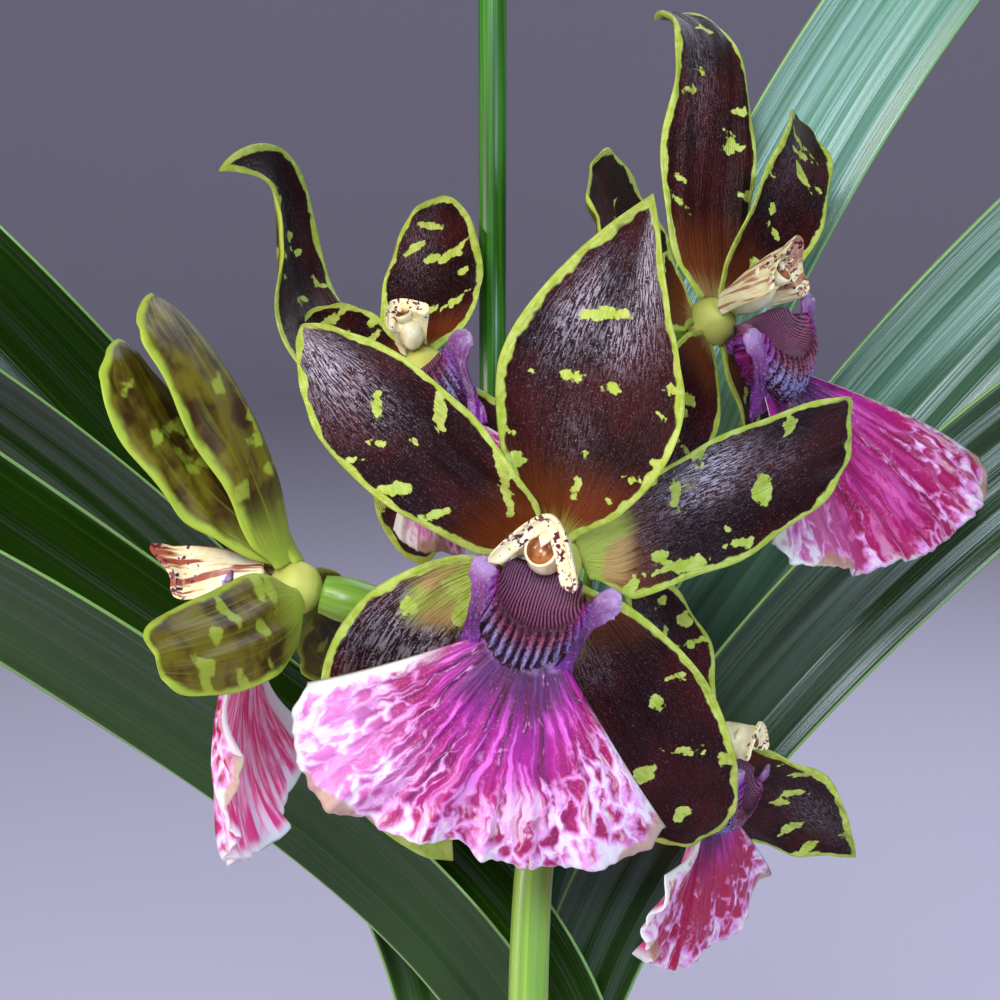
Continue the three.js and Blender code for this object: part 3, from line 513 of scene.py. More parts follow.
def mark_depth(marks, across, along):
    """How deep, in millimetres, a place lies inside the nearest mark; negative outside."""
    best = -5.0
    for place, side, half_length, half_width, slant in marks:
        turn = math.radians(slant)
        ahead, aside = along - place, across - side
        over = aside * math.cos(turn) + ahead * math.sin(turn)
        up = ahead * math.cos(turn) - aside * math.sin(turn)
        best = max(best, (1 - math.hypot(over / half_width, up / half_length)) * min(half_length, half_width))
    return best


def painted_sheen(patches, u, t):
    """How strongly painted sheen lies on a blade at u across and t along."""
    return min(1.0, sum((strength * math.exp(-((t - along) / reach) ** 2 - ((u - across) / wide) ** 2)
                         for along, across, reach, wide, strength in patches), 0.0))


def blade_surface(shape, thickness, marks=(), patches=(), pleats=0, pleat_depth=0.0):
    """Surface function of a sepal, petal or leaf for sheet()."""
    line = Midline(shape)
    size = shape["length"]
    stations = {}

    def station(t):
        if t not in stations:
            half = max(shape["width"] / 2 * blade_outline(shape, t), 0.02)
            half *= shape["neck"] + (1 - shape["neck"]) * smooth_between(0, 0.12, t)
            step = 0.01
            before = shape["width"] / 2 * blade_outline(shape, max(t - step, 0))
            after = shape["width"] / 2 * blade_outline(shape, min(t + step, 1))
            slope = (after - before) / (2 * step * size)
            stations[t] = (*line.at(t), half, 1 / math.hypot(1, slope))
        return stations[t]

    def surface(u, t):
        point, (_, side, normal), half, slant = station(t)
        across = half * u * (1 + shape["skew"] * math.copysign(1, u))
        ripple = shape["wave"] * math.sin(2 * math.pi * shape["waves"] * t + 1.7 * u + shape["phase"])
        lift = shape["cup"] * half * (abs(u) ** 1.6 if pleats else u * u)
        lift += ripple * abs(u) ** 3 * math.sin(math.pi * min(t * 1.1, 1.0)) * min(half / 3, 1.0)
        lift += shape["keel"] * half * abs(u) * smooth_between(0.5, 1.0, t)
        crease_height = noise.noise(Vector((across * 0.5, t * 2.2, shape["phase"])))
        lift += shape["fold"] * crease_height * smooth_between(0.08, 0.3, t)
        if pleats:
            lift += pleat_depth * math.cos(math.pi * pleats * u) * min(half / 6, 1.0)
        middle = point + side * across + normal * lift
        taper = math.sqrt(max(1 - abs(u) ** 8, 0.0)) * min(1.0, (1 - t) * size / 3 + 0.1)
        shell = normal * thickness / 2 * taper
        rim = half * (1 - abs(u)) * slant / shape["rims"][u > 0]
        # The patches give the share of painted sheen at each place.
        values = dict(rim=min(rim, (1 - t) * size * 0.9), along=t, across=across,
                      mark=mark_depth(marks, across, t * size), dust=painted_sheen(patches, u, t))
        return middle + shell, middle - shell, values

    return surface


def bloom_frame(plan):
    """Matrix from a bloom's own frame (x right, y up, z front, as seen by someone it faces) to the plant's."""
    yaw, pitch = math.radians(plan["yaw"]), math.radians(plan["pitch"])
    front = Vector((math.sin(yaw) * math.cos(pitch), -math.cos(yaw) * math.cos(pitch), math.sin(pitch)))
    right = Vector((math.cos(yaw), math.sin(yaw), 0))
    up = front.cross(right)
    roll = Matrix.Rotation(-math.radians(plan["roll"]), 4, "Z")
    turned = Matrix((right, up, front)).transposed().to_4x4() @ roll
    return Matrix.Translation(Vector(plan["at"]) * MM) @ turned


def tube(bm, centres, radius_at, sides, rows, material=0):
    """Adds a closed round tube along a smooth line through `centres`, in millimetres."""
    points = [Vector(p) for p in centres]
    rings = []
    side = None
    for row in range(rows + 1):
        share = row / rows
        along = (smooth(points, min(share + 0.01, 1)) - smooth(points, max(share - 0.01, 0))).normalized()
        side = (side or along.orthogonal()) - along * (side or along.orthogonal()).dot(along)
        side.normalize()
        rings.append((smooth(points, share), side.copy(), along.cross(side), radius_at(share)))
    verts = bmesh.ops.create_grid(bm, x_segments=sides, y_segments=rows, size=1.0)["verts"]
    where = {}
    for vert in verts:
        x, y = (vert.co.x + 1) / 2, (vert.co.y + 1) / 2
        centre, across, over, radius = rings[round(y * rows)]
        angle = 2 * math.pi * x
        vert.co = (centre + (across * math.cos(angle) + over * math.sin(angle)) * radius) * MM
        vert[bm.verts.layers.float["along"]] = y
        where[vert] = (x, y)
    lay_out(bm, where, material)
    bmesh.ops.remove_doubles(bm, verts=verts, dist=TUBE_MERGE)
    alive = [vert for vert in verts if vert.is_valid]
    open_edges = list({edge for vert in alive for edge in vert.link_edges if edge.is_boundary})
    for face in bmesh.ops.holes_fill(bm, edges=open_edges, sides=sides + 2)["faces"]:
        face.material_index = material
    bmesh.ops.recalc_face_normals(bm, faces=list({face for vert in alive for face in vert.link_faces}))


def lathe(bm, profile, segments):
    """Spins a profile of radius and height in metres about the upright axis; gives its vertices and faces."""
    old_verts, old_faces = set(bm.verts), set(bm.faces)
    verts = [bm.verts.new((radius, 0, height)) for radius, height in profile]
    edges = [bm.edges.new(pair) for pair in zip(verts, verts[1:])]
    bmesh.ops.spin(bm, geom=verts + edges, cent=(0, 0, 0), axis=(0, 0, 1), angle=2 * math.pi, steps=segments,
                   use_merge=True)
    bmesh.ops.remove_doubles(bm, verts=[vert for vert in bm.verts if vert not in old_verts], dist=LATHE_MERGE)
    faces = [face for face in bm.faces if face not in old_faces]
    bmesh.ops.recalc_face_normals(bm, faces=faces)
    return [vert for vert in bm.verts if vert not in old_verts], faces


# ---------------------------------------------------------------- materials

# What a node's input may name: the floats that the meshes carry, and places on the object and in its UV map.
SOURCES = {name: ("Attribute", "Fac", dict(attribute_name=name)) for name in FLOATS}
SOURCES["Object"] = ("TexCoord", "Object", {})
SOURCES["UV"] = ("UVMap", "UV", dict(uv_map="UVMap"))
USUAL_SETTINGS = {"Mix": dict(data_type="RGBA"), "MapRange": dict(interpolation_type="SMOOTHSTEP")}


def add(tree, kind, *inputs, output=None, stops=(), **named):
    """Adds a shader node and gives its output. Inputs come in order or by their capitalised names, and other
    names are settings. An input is a value, a hex colour, another node's output or a name in SOURCES."""
    node = tree.nodes.new("ShaderNode" + kind)
    settings = {key: value for key, value in named.items() if key[0].islower()}
    for key, value in {**USUAL_SETTINGS.get(kind, {}), **settings}.items():
        setattr(node, key, value)
    if stops:
        ramp = node.color_ramp.elements
        for place, _ in stops[1:-1]:
            ramp.new(place)
        for element, (place, shade) in zip(ramp, stops):
            element.position, element.color = place, to_linear(shade) if isinstance(shade, str) else shade
    live = [socket for socket in node.inputs if socket.enabled]
    by_name = [(node.inputs[key], value) for key, value in named.items() if key[0].isupper()]
    for socket, source in [*zip(live, inputs), *by_name]:
        if isinstance(source, str) and source in SOURCES:
            source_kind, source_output, source_settings = SOURCES[source]
            source = add(tree, source_kind, output=source_output, **source_settings)
        if isinstance(source, bpy.types.NodeSocket):
            tree.links.new(source, socket)
        else:
            socket.default_value = to_linear(source) if isinstance(source, str) else source
    return node.outputs[output] if output else next(socket for socket in node.outputs if socket.enabled)


def material_of(skin):
    """The material that the function `skin` describes by what goes into its Principled shader, built once."""
    if skin.__name__ in bpy.data.materials:
        return bpy.data.materials[skin.__name__]
    material = bpy.data.materials.new(skin.__name__)
    material.use_nodes = True
    tree = material.node_tree
    shader = tree.nodes["Principled BSDF"]
    for key, value in skin(functools.partial(add, tree), colours()).items():
        socket = shader.inputs[key.replace("_", " ")]
        if isinstance(value, bpy.types.NodeSocket):
            tree.links.new(value, socket)
        else:
            socket.default_value = value
    return material


def mottled(node, where, low, high, one, other, strength=0.0, depth=0.0, **grain):
    """Colour and relief of a skin with a single grain: `one` where the grain is low and `other` where it is
    high, and a relief `depth` millimetres deep."""
    grain = node("TexNoise", where, **grain)
    skin = dict(Base_Color=node("Mix", node("MapRange", grain, low, high), one, other))
    if strength:
        skin["Normal"] = node("Bump", Strength=strength, Distance=depth * MM, Height=grain)
    return skin


# Thin living tissue: light passes 1 to 2 mm into it.
FLESH = dict(Subsurface_Weight=0.5, Subsurface_Radius=(1.0, 0.55, 0.6), Subsurface_Scale=0.002)


def tepal_face(node, c):
    """Petal skin: tiny raised cells carry a painted sheen, a pale veil and shining grains that stand in for
    light on them, and its rim and marks are clear green.
    """
    # Scalloped border of the rim: waves of about 2.5 mm.
    coarse = node("TexNoise", "Object", Scale=330.0, Detail=2.0, Roughness=0.5)
    width = node("Math", coarse, 1.6, sizes().rim_width / MM - 0.8, operation="MULTIPLY_ADD")
    rim = node("MapRange", node("Math", width, "rim", operation="SUBTRACT"), -0.12, 0.12)
    fine = node("TexNoise", "Object", Scale=750.0, Detail=2.0, Roughness=0.55)
    edge = node("Math", fine, 1.9, -1.0, operation="MULTIPLY_ADD")
    mark = node("MapRange", node("Math", "mark", edge, operation="ADD"), -0.08, 0.1)
    # Fine wrinkles run along the petal, about 0.5 mm apart.
    stretched = node("Mapping", "UV", Scale=(40.0, 3.5, 1.0))
    veins = node("TexNoise", stretched, Scale=1.0, Detail=3.0, Roughness=0.65)
    clouds = node("TexNoise", "Object", Scale=120.0, Detail=1.0)
    maroon = node("Mix", node("MapRange", clouds, 0.35, 0.7), c.maroon, "#380b0b")
    maroon = node("Mix", node("MapRange", veins, 0.5, 0.75, 0.0, 0.6), maroon, "#0f0306")
    # Painted sheen: short wrinkles of 0.3 by 1.5 mm carry a pale veil that stands in for light caught on the
    # raised cells.
    crumpled = node("Mapping", "UV", Scale=(75.0, 26.0, 1.0))
    crumple = node("TexNoise", crumpled, Scale=1.0, Detail=2.0, Roughness=0.6)
    strength = node("Math", "dust", 1.4, operation="POWER")
    sheen_veil = node("MapRange", crumple, 0.46, 0.6, 0.04, 1.0)
    sheen_veil = node("Math", sheen_veil, strength, operation="MULTIPLY", use_clamp=True)
    maroon = node("Mix", sheen_veil, maroon, c.painted_sheen)
    # Painted glints: grains of about 0.2 mm, a few of them pale and shining, stand in for sparkle of light on
    # the cells.
    grains = node("TexNoise", "Object", Scale=4600.0, Detail=1.0, Roughness=0.6)
    share = node("Math", "dust", 0.8, 0.07, operation="MULTIPLY_ADD", use_clamp=True)
    painted_glints = node("Math", node("MapRange", grains, 0.6, 0.7), share, operation="MULTIPLY")
    maroon = node("Mix", painted_glints, maroon, "#cdbccb")
    # The foot of the petal turns rusty, then pale; the pale foot reaches farther where the painted sheen is
    # strong.
    foot = node("Math", node("Math", veins, 0.14, -0.07, operation="MULTIPLY_ADD"), "along", operation="ADD")
    rusty = node("Mix", node("MapRange", foot, 0.06, 0.3), c.rust, maroon)
    pale_end = node("Math", "dust", 0.34, 0.07, operation="MULTIPLY_ADD")
    pale = node("MapRange", node("Math", foot, pale_end, operation="SUBTRACT"), -0.09, 0.02)
    fresh = node("Mix", node("MapRange", clouds, 0.42, 0.58), "#b8945c", "#a9b24e")
    ground = node("Mix", pale, fresh, rusty)
    lime = node("Mix", node("MapRange", fine, 0.3, 0.7), c.lime, "#bcc766")
    low_relief = node("Math", crumple, 0.6, operation="MULTIPLY")
    height = node("Math", veins, 0.9, low_relief, operation="MULTIPLY_ADD")
    return dict(Base_Color=node("Mix", node("Math", rim, mark, operation="MAXIMUM"), ground, lime),
                Roughness=0.4, Specular_IOR_Level=0.12,
                Normal=node("Bump", Strength=0.7, Distance=0.5 * MM, Height=height))


def tepal_back(node, c):
    """Waxy back of a sepal: olive with the dark ground showing through and a lime rim."""
    blotches = node("TexNoise", "Object", Scale=150.0, Detail=3.0, Roughness=0.6)
    veins = node("TexNoise", node("Mapping", "UV", Scale=(26.0, 1.2, 1.0)), Scale=1.0, Detail=3.0)
    fine = node("TexNoise", "Object", Scale=500.0, Detail=2.0)
    marks = node("Math", "mark", node("Math", fine, 2.4, -1.0, operation="MULTIPLY_ADD"), operation="ADD")
    width = node("Math", blotches, 2.0, -0.6, operation="MULTIPLY_ADD")
    rim = node("Math", width, "rim", operation="SUBTRACT")
    shade = node("Mix", node("MapRange", blotches, 0.4, 0.62), c.olive, "#3c240a")
    shade = node("Mix", node("MapRange", veins, 0.5, 0.75, 0.0, 0.5), shade, "#8a9434")
    shade = node("Mix", node("MapRange", marks, -0.2, 0.3, 0.0, 0.75), shade, "#a3b23a")
    shade = node("Mix", node("MapRange", "along", 0.02, 0.3), "#9aa83a", shade)
    return dict(Base_Color=node("Mix", node("MapRange", rim, -0.5, 0.2), shade, c.lime),
                Roughness=0.48, Specular_IOR_Level=0.22,
                Normal=node("Bump", Strength=0.45, Distance=0.3 * MM, Height=veins))


def hub_skin(node, c):
    """Fleshy middle of the bloom: pale yellow-green, matt."""
    clouds = node("TexNoise", "Object", Scale=300.0, Detail=2.0)
    return dict(Base_Color=node("Mix", clouds, "#a5a636", "#d8d678"), Roughness=0.55, Specular_IOR_Level=0.25)


def lip_face(node, c):
    """Lip blade: satin, violet to magenta with plum veins, breaking up into blotches on a white margin; its
    deep violet foot is partly painted shade of the callus, with a painted highlight band and painted sparkle.
    """
    clouds = node("TexNoise", "Object", Scale=130.0, Detail=3.0, Roughness=0.55)
    blots = node("TexNoise", "Object", Scale=480.0, Detail=3.0, Roughness=0.62)
    # Some 20 forked veins run from the crest to the margin, and wander a little.
    wander = node("Mapping", node("CombineXYZ", clouds, blots), Scale=(3.0, 0.5, 1.0))
    veins_at = node("VectorMath", node("Mapping", "UV", Scale=(23.0, 1.9, 1.0)), wander, operation="ADD")
    vein = node("TexNoise", veins_at, Scale=1.0, Detail=3.0, Roughness=0.55)
    # The colour gives way to white sooner at the sides than in the middle.
    sides = node("Math", "across", "across", operation="MULTIPLY")
    sides = node("Math", node("Math", sides, 0.4, "along", operation="MULTIPLY_ADD"), "mark", operation="ADD")
    fade = node("Math", clouds, 0.6, node("Math", sides, 0.3, operation="SUBTRACT"), operation="MULTIPLY_ADD")
    # The darkest stops lie at the foot under the callus: partly the lip's own deep violet, partly painted shade
    # of the callus; the pale streaks are held back there for the same painted shade.
    shade = node("ValToRGB", fade, stops=((0.0, "#3a0a44"), (0.18, "#5e0e5e"), (0.38, c.magenta),
                                          (0.62, "#a00e6c"), (0.95, "#a01056")))
    light = node("Math", node("MapRange", vein, 0.52, 0.64), node("MapRange", fade, 0.1, 0.5, 0.1, 0.95),
                 operation="MULTIPLY")
    lighter = node("Mix", node("MapRange", fade, 0.5, 0.95), "#de66cc", c.blush)
    dark = node("Math", node("MapRange", vein, 0.49, 0.39), node("MapRange", fade, 0.1, 1.1, 0.95, 0.55),
                operation="MULTIPLY")
    wash = node("Math", node("MapRange", "across", 0.15, 0.65), node("MapRange", "along", 0.4, 0.75, 0.0, 0.75),
                operation="MULTIPLY")
    crimson = node("Math", "dust", node("MapRange", "along", 0.1, 0.5), operation="MULTIPLY")
    # White shows as a net between blotches, some 2.5 mm wide and 4 mm long at the margin.
    cells_at = node("VectorMath", node("Mapping", "UV", Scale=(27.0, 7.0, 1.0)), wander, operation="ADD")
    cells = node("TexVoronoi", cells_at, Scale=1.0, feature="DISTANCE_TO_EDGE")
    net = node("Math", vein, 0.8, node("Math", blots, 0.55, cells, operation="MULTIPLY_ADD"),
               operation="MULTIPLY_ADD")
    slit = node("Math", node("MapRange", fade, 0.3, 1.3, 0.48, 0.87), net, operation="SUBTRACT")
    border = node("MapRange", "across", 0.4, 0.9, -2.9, -1.5)
    margin = node("Math", blots, 5.5, border, operation="MULTIPLY_ADD")
    margin = node("MapRange", node("Math", margin, "rim", operation="SUBTRACT"), -0.8, 0.8)
    margin = node("Math", margin, node("MapRange", "along", 0.2, 0.5, 0.0, 0.95), operation="MULTIPLY")
    # The outermost millimetres dry to tan, most of all at the lower corners.
    corners = [node("Math", node("Math", "across", shift, operation="ADD"), operation="ABSOLUTE")
               for shift in (-0.52, 0.9)]
    corner = node("MapRange", node("Math", *corners, operation="MINIMUM"), 0.22, 0.08, -4.4, -1.0)
    dry = node("Math", node("Math", clouds, 6.0, corner, operation="MULTIPLY_ADD"), "rim", operation="SUBTRACT")
    dry = node("Math", node("MapRange", dry, -0.5, 0.3), node("MapRange", "along", 0.85, 0.95, 0.0, 0.8),
               operation="MULTIPLY")
    # Painted highlight: a lilac-white band hugging the foot of the callus.
    painted_highlight_band = node("Math", node("MapRange", "along", 0.085, 0.03), node("MapRange", blots, 0.36, 0.58, 0.15, 0.85),
                operation="MULTIPLY")
    # Painted sparkle: sparse pale grains stand in for glints of light on the blade.
    grains = node("TexNoise", "Object", Scale=3600.0, Detail=2.0)
    painted_sparkle = node("Math", node("MapRange", grains, 0.54, 0.7), node("MapRange", clouds, 0.4, 0.62, 0.03, 0.14),
                 operation="MULTIPLY")
    for share, colour_over in (
            (light, lighter), (dark, c.plum), (wash, "#d87fc6"), (crimson, "#a60f44"),
            (node("MapRange", slit, -0.16, 0.02), "#dd8fce"), (node("MapRange", slit, -0.02, 0.14), c.blush),
            (margin, "#ebe3da"), (dry, "#a98260"), (painted_highlight_band, "#d0a6e0"), (painted_sparkle, "#eedcf4")):
        shade = node("Mix", share, shade, colour_over)
    height = node("Math", vein, 0.8, node("Math", grains, 0.2, operation="MULTIPLY"), operation="MULTIPLY_ADD")
    return dict(FLESH, Base_Color=shade, Roughness=0.45, Specular_IOR_Level=0.35,
                Normal=node("Bump", Strength=0.4, Distance=0.5 * MM, Height=height))


def lip_back(node, c):
    """Underside of the lip: pale rose, with the veins showing through."""
    streaks = node("TexNoise", node("Mapping", "UV", Scale=(46.0, 2.6, 1.0)), Scale=1.0, Detail=3.0)
    blots = node("TexNoise", "Object", Scale=300.0, Detail=3.0)
    shade = node("Mix", node("MapRange", streaks, 0.42, 0.6, 0.0, 0.85), "#e0408c", "#fbd0e4")
    shade = node("Mix", node("MapRange", blots, 0.52, 0.68, 0.0, 0.6), shade, "#c9568f")
    shade = node("Mix", node("MapRange", "rim", 0.4, 2.0), c.blush, shade)
    return dict(FLESH, Subsurface_Weight=1.0, Subsurface_Scale=0.003, Base_Color=shade, Roughness=0.45,
                Normal=node("Bump", Strength=0.4, Distance=0.3 * MM, Height=streaks))


def callus_skin(node, c):
    """Fleshy crest: maroon grooves, ridges with reddish to lilac grainy tops, the lilac a painted highlight,
    and a throat of fine lines.
    """
    grains = node("TexNoise", "Object", Scale=3000.0, Detail=3.0, Roughness=0.7)
    top = node("Math", grains, 4.6, node("Math", "mark", 2.35, operation="SUBTRACT"), operation="MULTIPLY_ADD")
    side = node("Math", "across", operation="ABSOLUTE")
    groove = node("Mix", node("MapRange", side, 0.45, 1.0), c.crest, "#7c0f5c")
    # Rib tops: reddish near the crest, violet at the sides and lilac in between, the lilac a painted highlight.
    ridge = node("Mix", node("MapRange", "along", 0.48, 0.72), "#8a3c58", c.lilac)
    ridge = node("Mix", node("MapRange", side, 0.5, 0.95), ridge, "#8a4ab0")
    shade = node("Mix", node("MapRange", top, 0.15, 1.0), groove, ridge)
    line = node("Math", grains, 0.9, node("Math", "dust", 0.45, operation="SUBTRACT"), operation="MULTIPLY_ADD")
    throat = node("Mix", node("MapRange", line, 0.25, 0.75), "#260513", "#84486a")
    return dict(Base_Color=node("Mix", node("MapRange", "along", 0.44, 0.34), shade, throat),
                Roughness=0.42, Specular_IOR_Level=0.35,
                Normal=node("Bump", Strength=0.7, Distance=0.3 * MM, Height=grains))


def lobe_skin(node, c):
    """Side lobes of the lip: violet at the foot and lilac at the ear, with pale grains painted on as sparkle.
    """
    clouds = node("TexNoise", "Object", Scale=420.0, Detail=3.0)
    place = node("Math", "along", 0.25, operation="SUBTRACT")
    place = node("Math", clouds, 0.5, place, operation="MULTIPLY_ADD")
    shade = node("ValToRGB", place, stops=((0.05, "#741480"), (0.4, "#4c1250"), (0.72, "#7a3a78"),
                                           (1.0, "#a884b4")))
    # Painted sparkle: sparse pale grains stand in for glints of light on the lobes.
    grains = node("TexNoise", "Object", Scale=3000.0, Detail=2.0)
    return dict(Base_Color=node("Mix", node("MapRange", grains, 0.55, 0.72, 0.0, 0.2), shade, "#e2dcf6"),
                Roughness=0.38, Normal=node("Bump", Strength=0.4, Distance=0.2 * MM, Height=grains))


def column_skin(node, c):
    """Waxy cream column with ragged maroon specks of about 0.6 mm."""
    ragged = node("TexNoise", "Object", Scale=1700.0, Detail=2.0, Roughness=0.5)
    patches = node("TexNoise", "Object", Scale=700.0, Detail=2.0)
    amount = node("Math", ragged, 0.9, operation="SUBTRACT")
    amount = node("Math", patches, 0.8, amount, operation="MULTIPLY_ADD")
    specks = node("MapRange", node("Math", "mark", 0.2, amount, operation="MULTIPLY_ADD"), 0.24, 0.32)
    specks = node("Math", specks, node("MapRange", "mark", 0.1, 0.3), operation="MULTIPLY")
    # Thin red-brown streaks run along the younger blooms' columns.
    drawn = node("TexNoise", node("Mapping", "UV", Scale=(16.0, 1.6, 1.0)), Scale=1.0, Detail=3.0)
    drawn = node("Math", node("MapRange", drawn, 0.5, 0.58), "dust", operation="MULTIPLY")
    tone = node("Mix", node("MapRange", patches, 0.35, 0.65), c.cream, "#f4e6c4")
    return dict(Base_Color=node("Mix", specks, node("Mix", drawn, tone, "#9c4a36"), "#5a1626"), Roughness=0.34,
                Normal=node("Bump", Strength=0.25, Distance=0.3 * MM, Height=patches))


def cavity_skin(node, c):
    """Sticky hollow under the anther: glossy orange-brown."""
    return dict(mottled(node, "Object", 0.3, 0.7, "#74391c", "#b87644", Scale=600.0, Detail=2.0),
                Roughness=0.22)


def leaf_skin(node, c):
    """Waxy strap leaf: deep green, long parallel veins about 1.5 mm apart that catch the light, and painted
    sheen.
    """
    stretched = node("Mapping", "UV", Scale=(30.0, 1.5, 1.0))
    veins = node("TexNoise", stretched, Scale=1.0, Detail=3.0, Roughness=0.6)
    clouds = node("TexNoise", "Object", Scale=18.0, Detail=2.0)
    # Painted sheen: pale teal broken up by the veins, on leaves that carry sheen patches, standing in for
    # reflected light.
    leaf_sheen = node("Math", node("MapRange", veins, 0.7, 0.35, 0.45, 1.0), "dust", operation="MULTIPLY")
    green = node("Mix", node("MapRange", clouds, 0.35, 0.7), c.leaf, "#1f3a06")
    green = node("Mix", node("MapRange", veins, 0.5, 0.8, 0.0, 0.55), green, c.leaf_vein)
    green = node("Mix", leaf_sheen, green, "#7fb59c")
    green = node("Mix", node("MapRange", "along", 0.0, 0.16), "#5f9a3c", green)
    green = node("Mix", node("MapRange", "rim", 0.15, 0.6), "#7fa85a", green)
    return dict(Base_Color=green, Roughness=0.24, Specular_IOR_Level=0.34,
                Coat_Weight=0.05, Coat_Roughness=0.25,
                Normal=node("Bump", Strength=0.35, Distance=0.4 * MM, Height=veins))


def bulb_skin(node, c):
    """Pseudobulb and leaf bases: firm green skin with fine upright ridges."""
    upright = node("Mapping", "Object", Scale=(1.0, 1.0, 0.06))
    return dict(mottled(node, upright, 0.35, 0.7, c.bulb, "#9fb765", 0.4, 0.4, Scale=900.0, Detail=3.0),
                Roughness=0.4)


def dry_sheath(node, c):
    """Old sheath round a bulb: dry, papery and fibrous, straw to brown."""
    upright = node("Mapping", "Object", Scale=(1.0, 1.0, 0.05))
    return dict(mottled(node, upright, 0.3, 0.7, "#8a6a3e", "#cdb583", 0.6, 0.5, Scale=1300.0, Detail=4.0,
                        Roughness=0.7), Roughness=0.75)


def stalk_skin(node, c):
    """Flower stalk: smooth juicy green, with faint paler streaks along it."""
    along = node("Mapping", "UV", Scale=(14.0, 2.0, 1.0))
    return dict(mottled(node, along, 0.35, 0.7, c.spike, "#94b846", 0.3, 0.4, Scale=1.0, Detail=3.0),
                Roughness=0.33)


def terracotta(node, c):
    """Fired red clay, thrown and unglazed: matt, with a fine grain and pale salts."""
    clouds = node("TexNoise", "Object", Scale=30.0, Detail=5.0, Roughness=0.6)
    grit = node("TexNoise", "Object", Scale=900.0, Detail=3.0)
    shade = node("Mix", node("MapRange", clouds, 0.35, 0.75), c.clay, "#c98a66")
    shade = node("Mix", node("MapRange", grit, 0.6, 0.8, 0.0, 0.5), shade, "#8c4a2c")
    # Throwing rings of a few millimetres.
    rings = node("TexWave", "Object", Scale=90.0, Distortion=1.5, Detail=2.0, bands_direction="Z")
    height = node("Math", grit, 0.6, node("Math", rings, 0.25, operation="MULTIPLY"), operation="MULTIPLY_ADD")
    return dict(Base_Color=shade, Roughness=0.85,
                Normal=node("Bump", Strength=0.35, Distance=0.4 * MM, Height=height))


def fir_bark(node, c):
    """Chipped fir bark: dry, layered and corky, each side a little different in tone."""
    clouds = node("TexNoise", "Object", Scale=90.0, Detail=3.0)
    cork = node("TexNoise", "Object", Scale=500.0, Detail=5.0, Roughness=0.75)
    shade = node("Mix", node("MapRange", clouds, 0.35, 0.65), "#4a2c1a", c.bark)
    return dict(Base_Color=node("Mix", node("MapRange", cork, 0.5, 0.75), shade, "#a57a52"), Roughness=0.9,
                Normal=node("Bump", Strength=0.8, Distance=1.2 * MM, Height=cork))


def stake_coat(node, c):
    """Plastic-coated garden stake: extruded PVC, satin, with faint draw lines."""
    upright = node("Mapping", "Object", Scale=(1.0, 1.0, 0.02))
    return dict(mottled(node, upright, 0.35, 0.7, c.stake, "#3b7d1e", 0.25, 0.2, Scale=1800.0, Detail=2.0),
                Roughness=0.32)


def floor_paint(node, c):
    """Studio floor: plain pale paint, matt."""
    return dict(Base_Color=c.floor, Roughness=0.8)


# ---------------------------------------------------------------- operators


class ORCHID_OT_pot(bpy.types.Operator):
    """Turn the clay pot with its collar and drain holes"""

    bl_idname = "orchid.pot"
    bl_label = "Pot"

    def execute(self, context):
        s = sizes()
        # Width of the rounded edges.
        edge = 1.2 * MM
        collar = s.pot_height - s.pot_collar
        bm = new_bmesh()
        profile = [
            (0.0, 0.0), (s.pot_foot - edge, 0.0), (s.pot_foot, edge), (s.pot_shoulder, collar - edge),
            (s.pot_shoulder + edge / 2, collar), (s.pot_rim - edge, collar + 0.3 * MM),
            (s.pot_rim, collar + edge), (s.pot_rim, s.pot_height - 2 * edge),
            (s.pot_rim - edge * 0.3, s.pot_height - edge * 0.8),
            (s.pot_rim - edge, s.pot_height), (s.pot_rim - s.pot_wall + edge, s.pot_height),
            (s.pot_rim - s.pot_wall, s.pot_height - edge), (s.pot_shoulder - s.pot_wall, collar),
            (s.pot_foot - s.pot_wall, s.pot_floor), (0.0, s.pot_floor),
        ]
        lathe(bm, profile, 96)
        piece = finish_piece("clay_pot", bm, [terracotta], "pot")
        self.drill(piece, s)
        crease(piece, 35)
        return {"FINISHED"}

    def drill(self, piece, s):
        """Cuts the drain holes through the floor."""
        bm = bmesh.new()
        for index in range(DRAINS):
            angle = 2 * math.pi * (index + 0.5) / DRAINS
            hole = bmesh.ops.create_cone(bm, cap_ends=True, segments=32, radius1=s.drain_radius,
                                         radius2=s.drain_radius, depth=4 * s.pot_floor)["verts"]
            bmesh.ops.translate(bm, vec=(s.drain_circle * math.cos(angle), s.drain_circle * math.sin(angle), 0),
                                verts=hole)
        tool = make_object("drill", bm, (), smooth=False)
        cut = piece.modifiers.new("drain", "BOOLEAN")
        cut.operation, cut.object, cut.solver = "DIFFERENCE", tool, "EXACT"
        graph = bpy.context.evaluated_depsgraph_get()
        drilled = bpy.data.meshes.new_from_object(piece.evaluated_get(graph))
        piece.modifiers.clear()
        piece.data = drilled
        bpy.data.objects.remove(tool)


def crease(piece, degrees):
    """Keeps edges sharper than `degrees` crisp under smooth shading."""
    mesh = piece.data
    limit = math.radians(degrees)
    bm = bmesh.new()
    bm.from_mesh(mesh)
    for edge in bm.edges:
        edge.smooth = len(edge.link_faces) == 2 and edge.calc_face_angle(0) < limit
    bm.to_mesh(mesh)
    bm.free()


